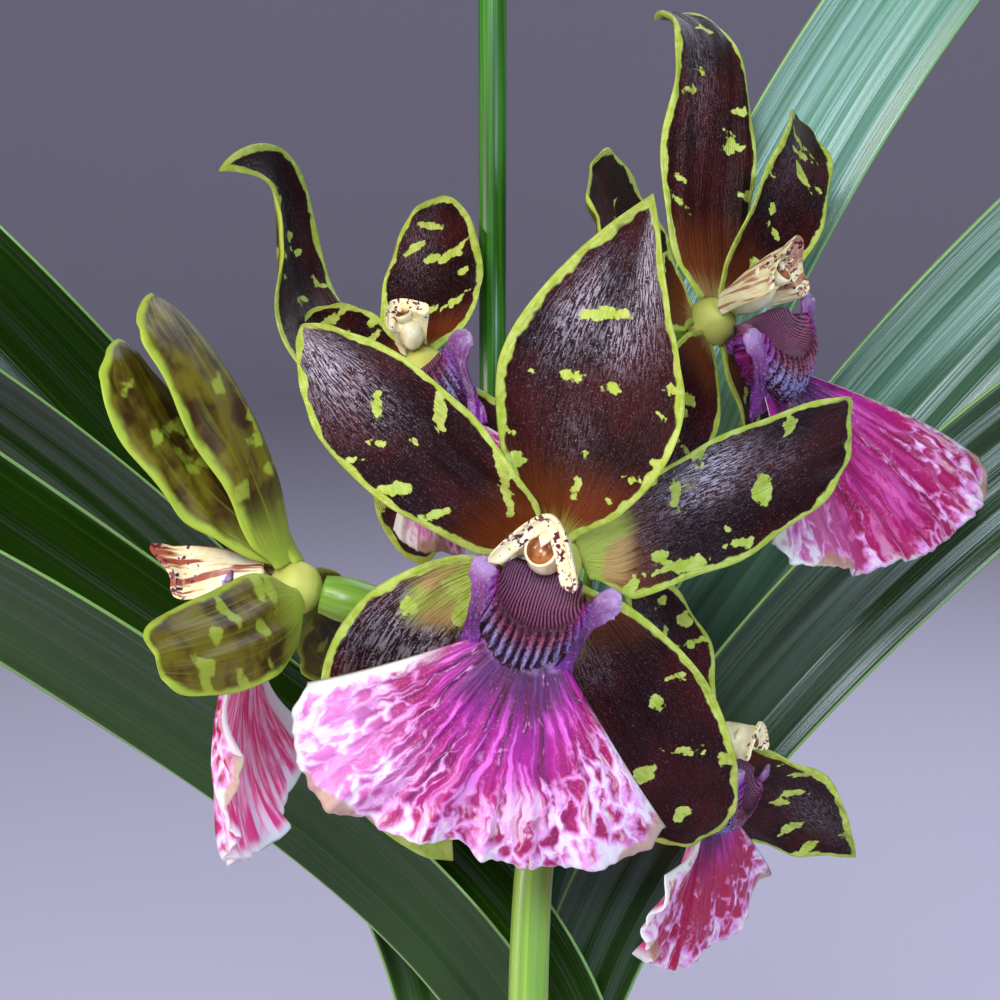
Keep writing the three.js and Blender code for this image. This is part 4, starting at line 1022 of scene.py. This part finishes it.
class ORCHID_OT_bark(bpy.types.Operator):
    """Heap the fir bark in the pot"""

    bl_idname = "orchid.bark"
    bl_label = "Bark"

    def execute(self, context):
        s = sizes()
        rng = random.Random(71)
        bm = new_bmesh()
        high = s.bark_top - 7 * MM

        def bore(height):
            """Inner radius of the pot."""
            share = (height - s.pot_floor) / (s.pot_height - s.pot_collar - s.pot_floor)
            return s.pot_foot - s.pot_wall + (s.pot_shoulder - s.pot_foot) * share

        floor = s.pot_floor + 0.3 * MM
        profile = [(0, floor), (bore(floor) - 0.6 * MM, floor), (bore(high) - 0.6 * MM, high),
                   (bore(high) - 9 * MM, high + 3 * MM), (0, s.bark_top)]
        lathe(bm, profile, 48)
        reach = bore(s.bark_top) - 10 * MM
        # Places kept clear of chips: growths, flower spike and stake.
        stems = [(plan["x"], plan["y"], 13) for plan in GROWTHS.values()]
        stems += [(*PEDUNCLE_PATH[0][:2], 7), (*STAKE_AT, 6)]
        for _ in range(BARK_CHIPS):
            distance = math.sqrt(rng.random()) * reach
            angle = rng.uniform(0, 2 * math.pi)
            x, y = distance * math.cos(angle), distance * math.sin(angle)
            size = rng.uniform(4.5, 9.5) * MM
            if any(math.hypot(x - sx * MM, y - sy * MM) < clear * MM + size * 0.35 for sx, sy, clear in stems):
                continue
            chip = bmesh.ops.create_cube(bm, size=1.0)["verts"]
            for vert in chip:
                vert.co += Vector([rng.uniform(-0.16, 0.16) for _ in range(3)])
            bmesh.ops.scale(bm, vec=(size * rng.uniform(0.9, 1.5), size * rng.uniform(0.6, 1.0),
                                     size * rng.uniform(0.25, 0.5)), verts=chip)
            turn = Matrix.Rotation(rng.uniform(0, 6.3), 4, "Z")
            turn = turn @ Matrix.Rotation(rng.uniform(-0.5, 0.5), 4, "X")
            turn = turn @ Matrix.Rotation(rng.uniform(-0.5, 0.5), 4, "Y")
            height = s.bark_top + s.bark_dome * (1 - (distance / reach) ** 2) + rng.uniform(-2.5, 1.5) * MM
            bmesh.ops.transform(bm, matrix=Matrix.Translation((x, y, height)) @ turn, verts=chip)
            edges = list({edge for vert in chip for edge in vert.link_edges})
            bmesh.ops.bevel(bm, geom=edges, offset=size * 0.07, affect="EDGES", segments=1, profile=0.5,
                            material=-1)
        finish_piece("bark_chips", bm, [fir_bark], "bark", smooth=False)
        return {"FINISHED"}


class ORCHID_OT_stake(bpy.types.Operator):
    """Stand the coated stake in the bark"""

    bl_idname = "orchid.stake"
    bl_label = "Stake"

    def execute(self, context):
        s = sizes()
        bm = new_bmesh()
        foot, top = s.stake_foot, s.stake_top
        low, high = s.stake_foot_radius, s.stake_top_radius
        profile = [(0, foot), (low * 0.8, foot), (low, foot + 0.4 * MM), (high, top - 0.9 * MM),
                   (high * 0.85, top - 0.25 * MM), (high * 0.5, top), (0, top)]
        lathe(bm, profile, 32)
        bmesh.ops.translate(bm, vec=Vector((*STAKE_AT, 0)) * MM, verts=bm.verts)
        piece = finish_piece("coated_stake", bm, [stake_coat], "stake")
        crease(piece, 40)
        return {"FINISHED"}


class ORCHID_OT_growths(bpy.types.Operator):
    """Grow the ribbed bulbs with their clasping sheaths"""

    bl_idname = "orchid.growths"
    bl_label = "Growths"

    def execute(self, context):
        for name, plan in GROWTHS.items():
            bm = new_bmesh()
            self.bulb(bm, plan)
            self.sheaths(bm, plan)
            finish_piece(name + "_bulb", bm, [bulb_skin, dry_sheath], name)
        return {"FINISHED"}

    def bulb(self, bm, plan):
        """Plump ribbed bulb."""
        rows = 26
        top = BULB_PROFILE[-1][1]

        def radius(height):
            for (r0, h0), (r1, h1) in zip(BULB_PROFILE, BULB_PROFILE[1:]):
                if height <= h1:
                    return r0 + (r1 - r0) * smooth_between(h0, h1, height)
            return BULB_PROFILE[-1][0]

        profile = [(0.0, 0.0)]
        profile += [(radius(top * i / rows) * plan["bulb"] * MM, top * i / rows * MM) for i in range(rows + 1)]
        profile += [(0.0, top * MM)]
        for vert in lathe(bm, profile, 72)[0]:
            angle = math.atan2(vert.co.y, vert.co.x)
            rib = 1 - 0.07 * (0.5 - 0.5 * math.cos(8 * angle)) ** 0.6
            vert.co.x, vert.co.y = vert.co.x * rib, vert.co.y * rib
            vert.co += Vector((plan["x"], plan["y"], BULB_BOTTOM)) * MM

    def sheaths(self, bm, plan):
        """Overlapping leaf bases round the stem above the bulb, and dry ones round its foot."""
        origin = Vector((plan["x"], plan["y"], 0))
        for bottom, top, low, high, facing, wrap in SHEATHS:
            dry = top <= SHEATH_BOTTOM

            def surface(u, t):
                edge = 1 - 0.55 * t ** 3
                angle = math.radians(facing + wrap * u * edge)
                height = bottom + (top - bottom) * (t - (0.22 * u * u * t))
                swell = math.sin(math.pi * t) * 0.04 + low + (high - low) * t
                wide = (plan["bulb"] if dry else plan["wide"]) * swell
                deep = (plan["bulb"] if dry else plan["deep"]) * swell
                ripple = 0.25 * math.sin(9 * u + facing) * t
                middle = Vector((math.cos(angle) * (wide + ripple), math.sin(angle) * (deep + ripple), height))
                out = Vector((math.cos(angle), math.sin(angle), 0)) * 0.3
                return origin + middle + out, origin + middle - out, dict(along=1.0, rim=3.0)

            sheet(bm, 36, 16, surface, material=1 if dry else 0)
        ends = [origin + Vector((0, 0, height)) for height in (SHEATH_BOTTOM + 2, SHEATH_TOP - 8)]
        tube(bm, ends, lambda share: min(plan["wide"], plan["deep"]) * 0.8, 28, 10)


class ORCHID_OT_leaves(bpy.types.Operator):
    """Grow the pleated strap leaves"""

    bl_idname = "orchid.leaves"
    bl_label = "Leaves"

    def execute(self, context):
        stand = Matrix(((1, 0, 0, 0), (0, 0, -1, 0), (0, 1, 0, 0), (0, 0, 0, 1)))
        thickness = sizes().leaf_thickness / MM
        for index, (name, plan) in enumerate(LEAVES.items()):
            shape = dict(LEAF, phase=1.3 * index, **{k: v for k, v in plan.items() if k != "at"})
            bm = new_bmesh()
            place = Matrix.Translation(Vector((*plan["at"], LEAF_BASE_Z)) * MM) @ stand
            # Two right leaves carry patches of painted sheen.
            surface = blade_surface(shape, thickness, (), LEAF_SHEEN_PATCHES.get(name, ()), LEAF_PLEATS, PLEAT_DEPTH)
            sheet(bm, 40, 110, surface, transform=place, ease=0.35)
            finish_piece(name + "_blade", bm, [leaf_skin], name)
        return {"FINISHED"}


def ovary_line(plan):
    """Points of one ovary and its stalk, from the spike to just behind the bloom."""
    matrix = bloom_frame(plan)
    seat = matrix @ (Vector((0, 0, -OVARY_BEHIND_HUB - TOUCH_GAP)) * MM) / MM
    back = matrix @ (Vector((0, 0, -OVARY_STRAIGHT)) * MM) / MM
    start = Vector(plan["node"])
    near = start.lerp(back, 0.5)
    return [start * (1 - t) ** 3 + near * 3 * t * (1 - t) ** 2 + back * 3 * t * t * (1 - t) + seat * t ** 3
            for t in (step / 8 for step in range(9))]


class ORCHID_OT_spike(bpy.types.Operator):
    """Grow the flower spike, its ovaries and bracts"""

    bl_idname = "orchid.spike"
    bl_label = "Spike"

    def execute(self, context):
        bm = new_bmesh()
        tube(bm, PEDUNCLE_PATH, lambda share: PEDUNCLE_FOOT + (PEDUNCLE_TOP - PEDUNCLE_FOOT) * share ** 2,
             24, 80)
        for plan in BLOOMS.values():
            points = ovary_line(plan)

            def radius(share):
                swell = smooth_between(0, 1, share)
                neck = 0.5 * smooth_between(0.9, 1.0, share)
                return OVARY_STALK + (OVARY_FLOWER - OVARY_STALK) * swell - neck

            tube(bm, points, radius, 24, 40)
            self.bract(bm, points)
        finish_piece("spike_stalks", bm, [stalk_skin, tepal_back], "flower_spike")
        return {"FINISHED"}

    def bract(self, bm, points):
        """Small pointed bract that clasps the foot of an ovary."""
        away = (points[2] - points[0]).normalized()
        down = Vector((0, 0, -1))
        side = away.cross(down).normalized()
        under = side.cross(away).normalized()
        shape = dict(BLADE, length=11, width=6.5, base=0.8, widest=0.3, taper=1.4, round=1.0, cup=0.55, lean=16,
                     bend=-10, wave=0.1)
        surface = blade_surface(shape, 0.4)
        place = Matrix.Translation((points[0] + under * -1.2 - away * 0.5) * MM) @ Matrix(
            (side, away, under)).transposed().to_4x4()
        sheet(bm, 14, 20, surface, transform=place)


class ORCHID_OT_tepals(bpy.types.Operator):
    """Open the sepals and petals of each bloom"""

    bl_idname = "orchid.tepals"
    bl_label = "Sepals and petals"

    def execute(self, context):
        thickness = sizes().tepal_thickness / MM
        for number, (name, plan) in enumerate(BLOOMS.items()):
            bm = new_bmesh()
            rng = random.Random(100 + number)
            hub = bmesh.ops.create_icosphere(bm, subdivisions=3, radius=HUB_RADIUS * MM)["verts"]
            for face in {face for vert in hub for face in vert.link_faces}:
                face.material_index = 2
            for part, usual in TEPALS.items():
                shape = dict(BLADE, start=TEPAL_START, phase=rng.uniform(0, 6), neck=0.6, fold=0.8)
                shape.update(usual)
                shape.update(plan["tepals"].get(part, {}))
                # The front bloom takes its listed marks and painted sheen; the others take random marks and the
                # usual painted sheen.
                if name == "front":
                    marks, patches = MARKS[part], SHEEN_PATCHES[part]
                else:
                    marks, patches = self.scatter(rng, shape), USUAL_SHEEN_PATCHES
                sheet(bm, 40, 64, blade_surface(shape, thickness, marks, patches), back=1)
            bmesh.ops.transform(bm, matrix=bloom_frame(plan), verts=bm.verts)
            finish_piece(name + "_sepals_and_petals", bm,
                         [tepal_face, tepal_back, hub_skin], name + "_bloom_tepals")
        return {"FINISHED"}

    def scatter(self, rng, shape):
        """Green marks at random: short bars across the blade."""
        marks = []
        for _ in range(TEPAL_MARKS):
            t = rng.uniform(0.18, 0.85)
            half = shape["width"] / 2 * blade_outline(shape, t)
            across = rng.uniform(-0.85, 0.85) * half
            marks.append((t * shape["length"], across, rng.uniform(0.4, 1.0), rng.uniform(0.8, 2.3),
                          rng.uniform(-30, 30)))
        return marks


class ORCHID_OT_lips(bpy.types.Operator):
    """Spread the lip of each bloom, with its callus and side lobes"""

    bl_idname = "orchid.lips"
    bl_label = "Lips"

    def execute(self, context):
        for number, (name, plan) in enumerate(BLOOMS.items()):
            shape = dict(LIP, **plan["lip"])
            hero = name == "front"
            bm = new_bmesh()
            angle = math.radians(shape["turn"])
            down = Vector((math.sin(angle), math.cos(angle), 0))
            right = Vector((-math.cos(angle), math.sin(angle), 0))
            self.blade(bm, shape, hero, number)
            self.callus(bm, right, down, shape["core"] / LIP["core"], hero)
            for side in (-1, 1):
                self.wing(bm, right, down, side, shape["core"] / LIP["core"])
            offset = down * shape["out"] + Vector((0, 0, shape["forward"]))
            bmesh.ops.translate(bm, vec=offset * MM, verts=bm.verts)
            self.claw(bm, shape, down)
            bmesh.ops.transform(bm, matrix=bloom_frame(plan), verts=bm.verts)
            finish_piece(name + "_lip_and_callus", bm, [lip_face, lip_back, callus_skin, lobe_skin],
                         name + "_bloom_lip")
        return {"FINISHED"}

    def blade(self, bm, lip, hero, number):
        """Fan-shaped blade with a ruffled margin."""
        rays = {}

        def surface(psi, t):
            if psi not in rays:
                ragged = 0.35 * noise.noise(Vector((psi * 13, number, 0)))
                ragged += 0.25 * noise.noise(Vector((psi * 31, number, 5)))
                size = smooth(lip["edge"], (psi + 1) / 2) - lip["core"] + ragged
                size *= 1 - 0.07 * smooth_between(0.84, 1.0, abs(psi)) ** 2
                rays[psi] = Midline(dict(BLADE, turn=lip["turn"] + lip["span"] * psi, start=lip["core"],
                                         length=size, lean=lip["lean"],
                                         bend=lip["bend"] - lip["droop"] * psi * psi))
            ray = rays[psi]
            size = ray.shape["length"]
            point, (_, side, normal) = ray.at(t)
            ruffle = lip["ruffle"] * t * t * math.sin(math.pi * lip["ruffles"] * psi)
            ruffle += 0.75 * t * noise.noise(Vector((psi * 5, t * 2.2, number + 0.5)))
            ruffle += 0.9 * t ** 4 * noise.noise(Vector((psi * 14, t * 2, number + 3.5)))
            crinkle = noise.noise(Vector((psi * 26, t * 1.5, number + 7.5)))
            ruffle += 0.55 * smooth_between(0.02, 0.35, t) * crinkle
            for place, width, depth in LIP_TUCKS:
                ruffle += depth * t ** 4 * math.exp(-((psi - place) / width) ** 2)
            middle = point + normal * ruffle
            thin = math.sqrt(max(1 - abs(psi) ** 12, 0)) * math.sqrt(max(1 - t ** 14, 0))
            shell = normal * sizes().lip_thickness / MM / 2 * thin
            arc = size * t + lip["core"]
            border = min((1 - t) * size, (1 - abs(psi)) * math.radians(lip["span"]) * arc)
            return middle + shell, middle - shell, dict(along=t, across=psi, rim=border, mark=lip["pale"],
                                                        dust=lip["crimson"])

        sheet(bm, 180 if hero else 110, 64 if hero else 40, surface, back=1, ease=0.15)

    def callus(self, bm, right, down, scale, hero):
        """Crest like a bib: a striped throat, a rounded crest line and a ribbed wall down to the blade."""
        up = Vector((0, 0, 1))

        def spot(x, y, z):
            return (right * x + down * y) * scale + up * z * scale

        def line_place(u, s):
            """Phase of the throat's lines: nearly parallel in the middle, fanned out at the sides."""
            beside = 4.6 * u + (5.4 * math.sin(math.pi / 2 * u) - 4.6 * u) * min(s / 0.42, 1.0) ** 2
            return 18 * (0.6 * beside + 0.4 * 5 * u) + 4 * noise.noise(Vector((u * 4, s * 6, 1)))

        def rib_place(u, s):
            return u + 0.02 * math.sin(6 * u) + 0.025 * noise.noise(Vector((u * 9, s * 7, 4)))

        def surface(u, s):
            quarter = math.pi / 2 * u
            throat = spot(-1.1 + 4.6 * u, -5.6, 0.4 + 1.6 * u * u)
            crest = spot(-1.0 + 5.4 * math.sin(quarter), -4.3 + 4.8 * math.cos(quarter), 5.6 - 1.5 * u * u)
            foot = spot(-0.8 + 6.0 * math.sin(1.05 * quarter), -2.2 + 9.3 * math.cos(quarter),
                        -0.2 + 1.2 * u ** 4)
            if s < 0.42:
                share = s / 0.42
                middle = spot(-1.0 + 4.8 * u, -3.0 + 2.2 * math.cos(quarter), 1.0 + 1.4 * u * u)
                point = throat * (1 - share) ** 2 + middle * 2 * share * (1 - share) + crest * share ** 2
                hairs = 0.06 * math.sin(line_place(u, s))
                point = point + up * hairs * smooth_between(0.0, 0.3, s) * (1 - smooth_between(0.33, 0.42, s))
            else:
                share = (s - 0.42) / 0.58
                bulge = foot.lerp(crest, 0.3)
                bulge.z = crest.z * 1.02
                point = crest * (1 - share) ** 2 + bulge * 2 * share * (1 - share) + foot * share ** 2
                ribs = math.cos(math.pi * CALLUS_RIBS * rib_place(u, s))
                depth = 0.36 * smooth_between(0.0, 0.1, share) * (1 - smooth_between(0.75, 1.0, share))
                away = (foot - spot(-0.5, -4, 0)).normalized() + up * 0.7
                point = point + away * ribs * depth * scale
                point = point + away * 0.3 * noise.noise(Vector((u * 40, s * 26, 2))) * scale
            under = point.copy()
            under.z = min(CALLUS_FLOOR * scale, point.z - 0.2)
            outer = smooth_between(0.4, 0.5, s)
            rib = 0.5 + 0.5 * math.cos(math.pi * CALLUS_RIBS * rib_place(u, s))
            hair = 0.5 + 0.5 * math.sin(line_place(u, s))
            # Share of each rib top that takes the ridge colours, whose lilac is a painted highlight; it fades
            # at the crest line and the foot.
            top = rib ** 0.8 * outer * smooth_between(0.38, 0.5, s) * (1 - smooth_between(0.75, 0.95, s))
            return point, under, dict(mark=top, dust=(1 - outer) * hair, along=s, across=u)

        sheet(bm, 190 if hero else 100, 56 if hero else 34, surface, material=2, ease=0.0)

    def wing(self, bm, right, down, side, scale):
        """Side lobe of the lip: a flange up the side of the callus that ends in a rounded ear."""
        path, halves = WINGS[side]
        path = [Vector(p) for p in path]

        def surface(u, t):
            centre = smooth(path, t)
            ahead = (smooth(path, t + 0.02) - smooth(path, t - 0.02)).normalized()
            facing = Vector((0.35, -0.1, 0.93))
            across = ahead.cross(facing).normalized()
            normal = across.cross(ahead).normalized()
            half = smooth(halves, t) * math.sqrt(max(1 - max((t - 0.84) / 0.16, 0) ** 2.6, 0.0) + 0.0004)
            ripple = 0.18 * math.sin(9 * t + 4 * u) + 0.3 * u * u * (1 - t)
            ripple += 0.15 * noise.noise(Vector((u * 3, t * 6, side)))
            ragged = 1 + 0.3 * noise.noise(Vector((u * 1.5, t * 11, side + 4)))
            spot = centre + across * half * u * ragged + normal * ripple
            thick = normal * 0.4 * math.sqrt(max(1 - abs(u) ** 6, 0))
            outer, inner = [(right * p.x * side + down * p.y + Vector((0, 0, p.z))) * scale
                            for p in (spot + thick, spot - thick)]
            return outer, inner, dict(along=t, across=u, rim=(1 - abs(u)) * half)

        sheet(bm, 22, 44, surface, material=3)

    def claw(self, bm, lip, down):
        """Narrow foot that runs from under the callus back to the hub."""
        reach = HUB_RADIUS + 0.9
        slope = math.radians(60)
        seat = (down * math.sin(slope) + Vector((0, 0, math.cos(slope)))) * reach
        root = down * lip["out"] + Vector((0, 0, lip["forward"] + CALLUS_FLOOR / 2))
        tube(bm, [seat, seat.lerp(root, 0.5), root], lambda share: 1.1 + 0.1 * share, 16, 8, material=3)


def ellipsoid(bm, centre, radii):
    """Adds a smooth rounded lump, in millimetres."""
    verts = bmesh.ops.create_icosphere(bm, subdivisions=3, radius=MM)["verts"]
    bmesh.ops.scale(bm, vec=radii, verts=verts)
    bmesh.ops.translate(bm, vec=Vector(centre) * MM, verts=verts)
    return verts


class ORCHID_OT_columns(bpy.types.Operator):
    """Shape the hooded column of each bloom"""

    bl_idname = "orchid.columns"
    bl_label = "Columns"

    def execute(self, context):
        for name, plan in BLOOMS.items():
            shape = dict(COLUMN, **plan["column"])
            scale = shape["mouth"] / FULL_MOUTH
            bm = new_bmesh()
            self.hood(bm, shape, scale)
            first, rise, reach = HUB_RADIUS + TOUCH_GAP, shape["rise"], shape["length"]
            base = shape["base"] * 0.72
            ellipsoid(bm, (0, rise * 0.8, first + reach * 0.36), (base, base, reach * 0.38))
            mouth = Vector((0, rise + 0.9 * scale, first + reach - 1.2 * scale))
            ellipsoid(bm, mouth + Vector((-0.25, 0.35, -2.9)) * scale, Vector((3.3, 2.5, 1.4)) * scale)
            self.anther(bm, mouth, scale)
            tilt = Matrix.Rotation(-math.radians(shape["tilt"]), 4, "X")
            turn = Matrix.Rotation(math.radians(shape["yaw"]), 4, "Y") @ tilt
            bmesh.ops.transform(bm, matrix=bloom_frame(plan) @ turn, verts=bm.verts)
            finish_piece(name + "_column_and_anther", bm, [column_skin, cavity_skin],
                         name + "_bloom_column")
        return {"FINISHED"}

    def hood(self, bm, shape, scale):
        """Hood that widens from the hub into a spotted arch with two rounded arms."""
        first, rise, reach = HUB_RADIUS + TOUCH_GAP, shape["rise"], shape["length"]

        def surface(u, t):
            spread = math.sin(math.pi / 2 * u)
            wrap = math.radians(shape["wrap"]) * u
            base = Vector((math.sin(wrap), math.cos(wrap))) * shape["base"] * 0.72
            ridge = Vector((5.1 * spread, 4.4 - 6.9 * abs(spread) ** 1.5)) * scale
            outward = Vector((10.4 * math.copysign(abs(spread) ** 0.5, spread), 5.1)).normalized()
            end = math.sqrt(max(1 - (max(abs(spread) - 0.88, 0) / 0.12) ** 2, 0.0))
            band = (0.88 - 0.28 * max(-spread, 0)) * scale * max(end, 0.04)
            arch, inner = ridge + outward * band, ridge - outward * band
            if t < 0.7:
                share = (t / 0.7) ** 1.3
                flat = base.lerp(inner, share)
                height = reach * 0.9 * (t / 0.7)
                facing = Vector((math.sin(wrap * 0.8), math.cos(wrap * 0.8), 0.1)).normalized()
            else:
                share = (t - 0.7) / 0.3
                flat = inner.lerp(arch, math.sin(math.pi / 2 * share))
                roll_over = 0.1 * math.sin(math.pi / 2 * min(share * 1.6, 1)) - 0.05 * max(share - 0.6, 0)
                height = reach * (0.9 + roll_over)
                lean = smooth_between(0, 0.7, share)
                turned = wrap * 0.8
                facing = Vector((math.sin(turned) * (1 - lean), math.cos(turned) * (1 - lean), 0.1 + lean))
                facing.normalize()
            height -= reach * 0.06 * abs(spread) ** 2
            ahead = (1 - smooth_between(0.1, 0.8, abs(spread))) * smooth_between(0.4, 1, t)
            height += shape["point"] * ahead
            flat = flat * (1 + shape["swell"] * math.sin(math.pi * t) ** 2)
            uneven = 0.12 * noise.noise(Vector((u * 5, t * 4, scale)))
            point = Vector((flat.x, flat.y + rise, first + height)) + facing * uneven
            thick = 0.5 * scale * max(end, 0.1)
            thick *= math.sqrt(max(1 - abs(u) ** 14, 0)) * math.sqrt(max(1 - t ** 20, 0))
            spots = smooth_between(0.45, 0.75, t) * (0.55 + 0.45 * smooth_between(-0.75, 0.1, u))
            return point + facing * thick, point - facing * thick, dict(mark=spots, along=t, across=u,
                                                                       dust=shape["streaks"])

        sheet(bm, 96, 44, surface, ease=0.1)

    def anther(self, bm, seat, scale):
        """Sticky bowl with a cream rim, and the small beak that hangs over it."""
        ring, faces = lathe(bm, [(radius * scale * MM, height * scale * MM) for radius, height in BOWL], 36)
        for face in faces:
            centre = face.calc_center_median() / MM / scale
            if math.hypot(centre.x, centre.y) < 1.6 and centre.z > -1.15:
                face.material_index = 1
        bmesh.ops.scale(bm, vec=(1, 1.08, 1), verts=ring)
        bmesh.ops.rotate(bm, cent=(0, 0, 0), matrix=Matrix.Rotation(math.radians(-12), 3, "X"), verts=ring)
        bmesh.ops.translate(bm, vec=seat * MM, verts=ring)
        beak = ellipsoid(bm, seat + Vector((0.05, 1.15, 0.35)) * scale, Vector((0.7, 0.95, 0.5)) * scale)
        for vert in beak:
            low = max((seat.y + 1.3 * scale) * MM - vert.co.y, 0) / (scale * MM)
            vert.co.x += (seat.x * MM - vert.co.x) * min(low, 1) * 0.8


class ORCHID_OT_stage(bpy.types.Operator):
    """Set the floor, lights and camera"""

    bl_idname = "orchid.stage"
    bl_label = "Stage"

    def execute(self, context):
        scene = context.scene
        bm = bmesh.new()
        curve = [(radius, 0.0) for radius in (0.0, 0.6, 1.4, FLOOR_FLAT)]
        for step in range(1, 17):
            angle = math.pi / 2 * step / 16
            curve.append((FLOOR_FLAT + FLOOR_BEND * math.sin(angle), FLOOR_BEND * (1 - math.cos(angle))))
        curve.append((FLOOR_FLAT + FLOOR_BEND, FLOOR_BEND + FLOOR_WALL))
        lathe(bm, curve, 96)
        if sum(face.normal.z for face in bm.faces) < 0:
            bmesh.ops.reverse_faces(bm, faces=bm.faces)
        floor = make_object("floor", bm, [floor_paint])

        world = bpy.data.worlds.new("studio")
        world.use_nodes = True
        background = world.node_tree.nodes["Background"]
        background.inputs["Color"].default_value = to_linear("#f2f4fa")
        background.inputs["Strength"].default_value = AMBIENT
        scene.world = world
        for name, (place, size, power, hex_colour) in LAMPS.items():
            self.lamp(scene, name, place, size, power, hex_colour)

        view = bpy.data.cameras.new("camera")
        view.lens = CAMERA_LENS
        view.sensor_width = 36
        view.clip_start = 0.01
        camera = bpy.data.objects.new("camera", view)
        camera.location = CAMERA_PLACE
        camera.rotation_euler = (math.radians(CAMERA_TILT), 0, 0)
        scene.collection.objects.link(camera)
        scene.camera = camera
        scene.view_settings.view_transform = "Standard"
        return {"FINISHED"}

    def lamp(self, scene, name, place, size, power, hex_colour):
        """Soft square light aimed at the blooms."""
        light = bpy.data.lights.new(name, "AREA")
        light.size = size
        light.energy = power
        light.color = to_linear(hex_colour)[:3]
        lamp = bpy.data.objects.new(name, light)
        lamp.location = place
        aim = Vector(LAMP_AIM) - Vector(place)
        lamp.rotation_euler = aim.to_track_quat("-Z", "Y").to_euler()
        scene.collection.objects.link(lamp)


class ORCHID_PT_panel(bpy.types.Panel):
    """Lists the orchid's pieces, sizes and colours"""

    bl_idname = "ORCHID_PT_panel"
    bl_label = "Zygopetalum Orchid"
    bl_space_type = "VIEW_3D"
    bl_region_type = "UI"
    bl_category = "Orchid"

    def draw(self, context):
        for operator in OPERATORS:
            self.layout.operator(operator.bl_idname)
        for group in (context.scene.orchid_sizes, context.scene.orchid_colours):
            box = self.layout.box()
            for key in group.__annotations__:
                box.prop(group, key)


OPERATORS = (
    ORCHID_OT_pot, ORCHID_OT_bark, ORCHID_OT_stake, ORCHID_OT_growths, ORCHID_OT_leaves, ORCHID_OT_spike,
    ORCHID_OT_tepals, ORCHID_OT_lips, ORCHID_OT_columns, ORCHID_OT_stage,
)
CLASSES = (OrchidSizes, OrchidColours, *OPERATORS, ORCHID_PT_panel)


def register():
    for cls in CLASSES:
        bpy.utils.register_class(cls)
    bpy.types.Scene.orchid_sizes = bpy.props.PointerProperty(type=OrchidSizes)
    bpy.types.Scene.orchid_colours = bpy.props.PointerProperty(type=OrchidColours)


def unregister():
    del bpy.types.Scene.orchid_colours
    del bpy.types.Scene.orchid_sizes
    for cls in reversed(CLASSES):
        bpy.utils.unregister_class(cls)


def main():
    register()
    for operator in OPERATORS:
        group, name = operator.bl_idname.split(".")
        getattr(getattr(bpy.ops, group), name)()


if __name__ == "__main__":
    main()
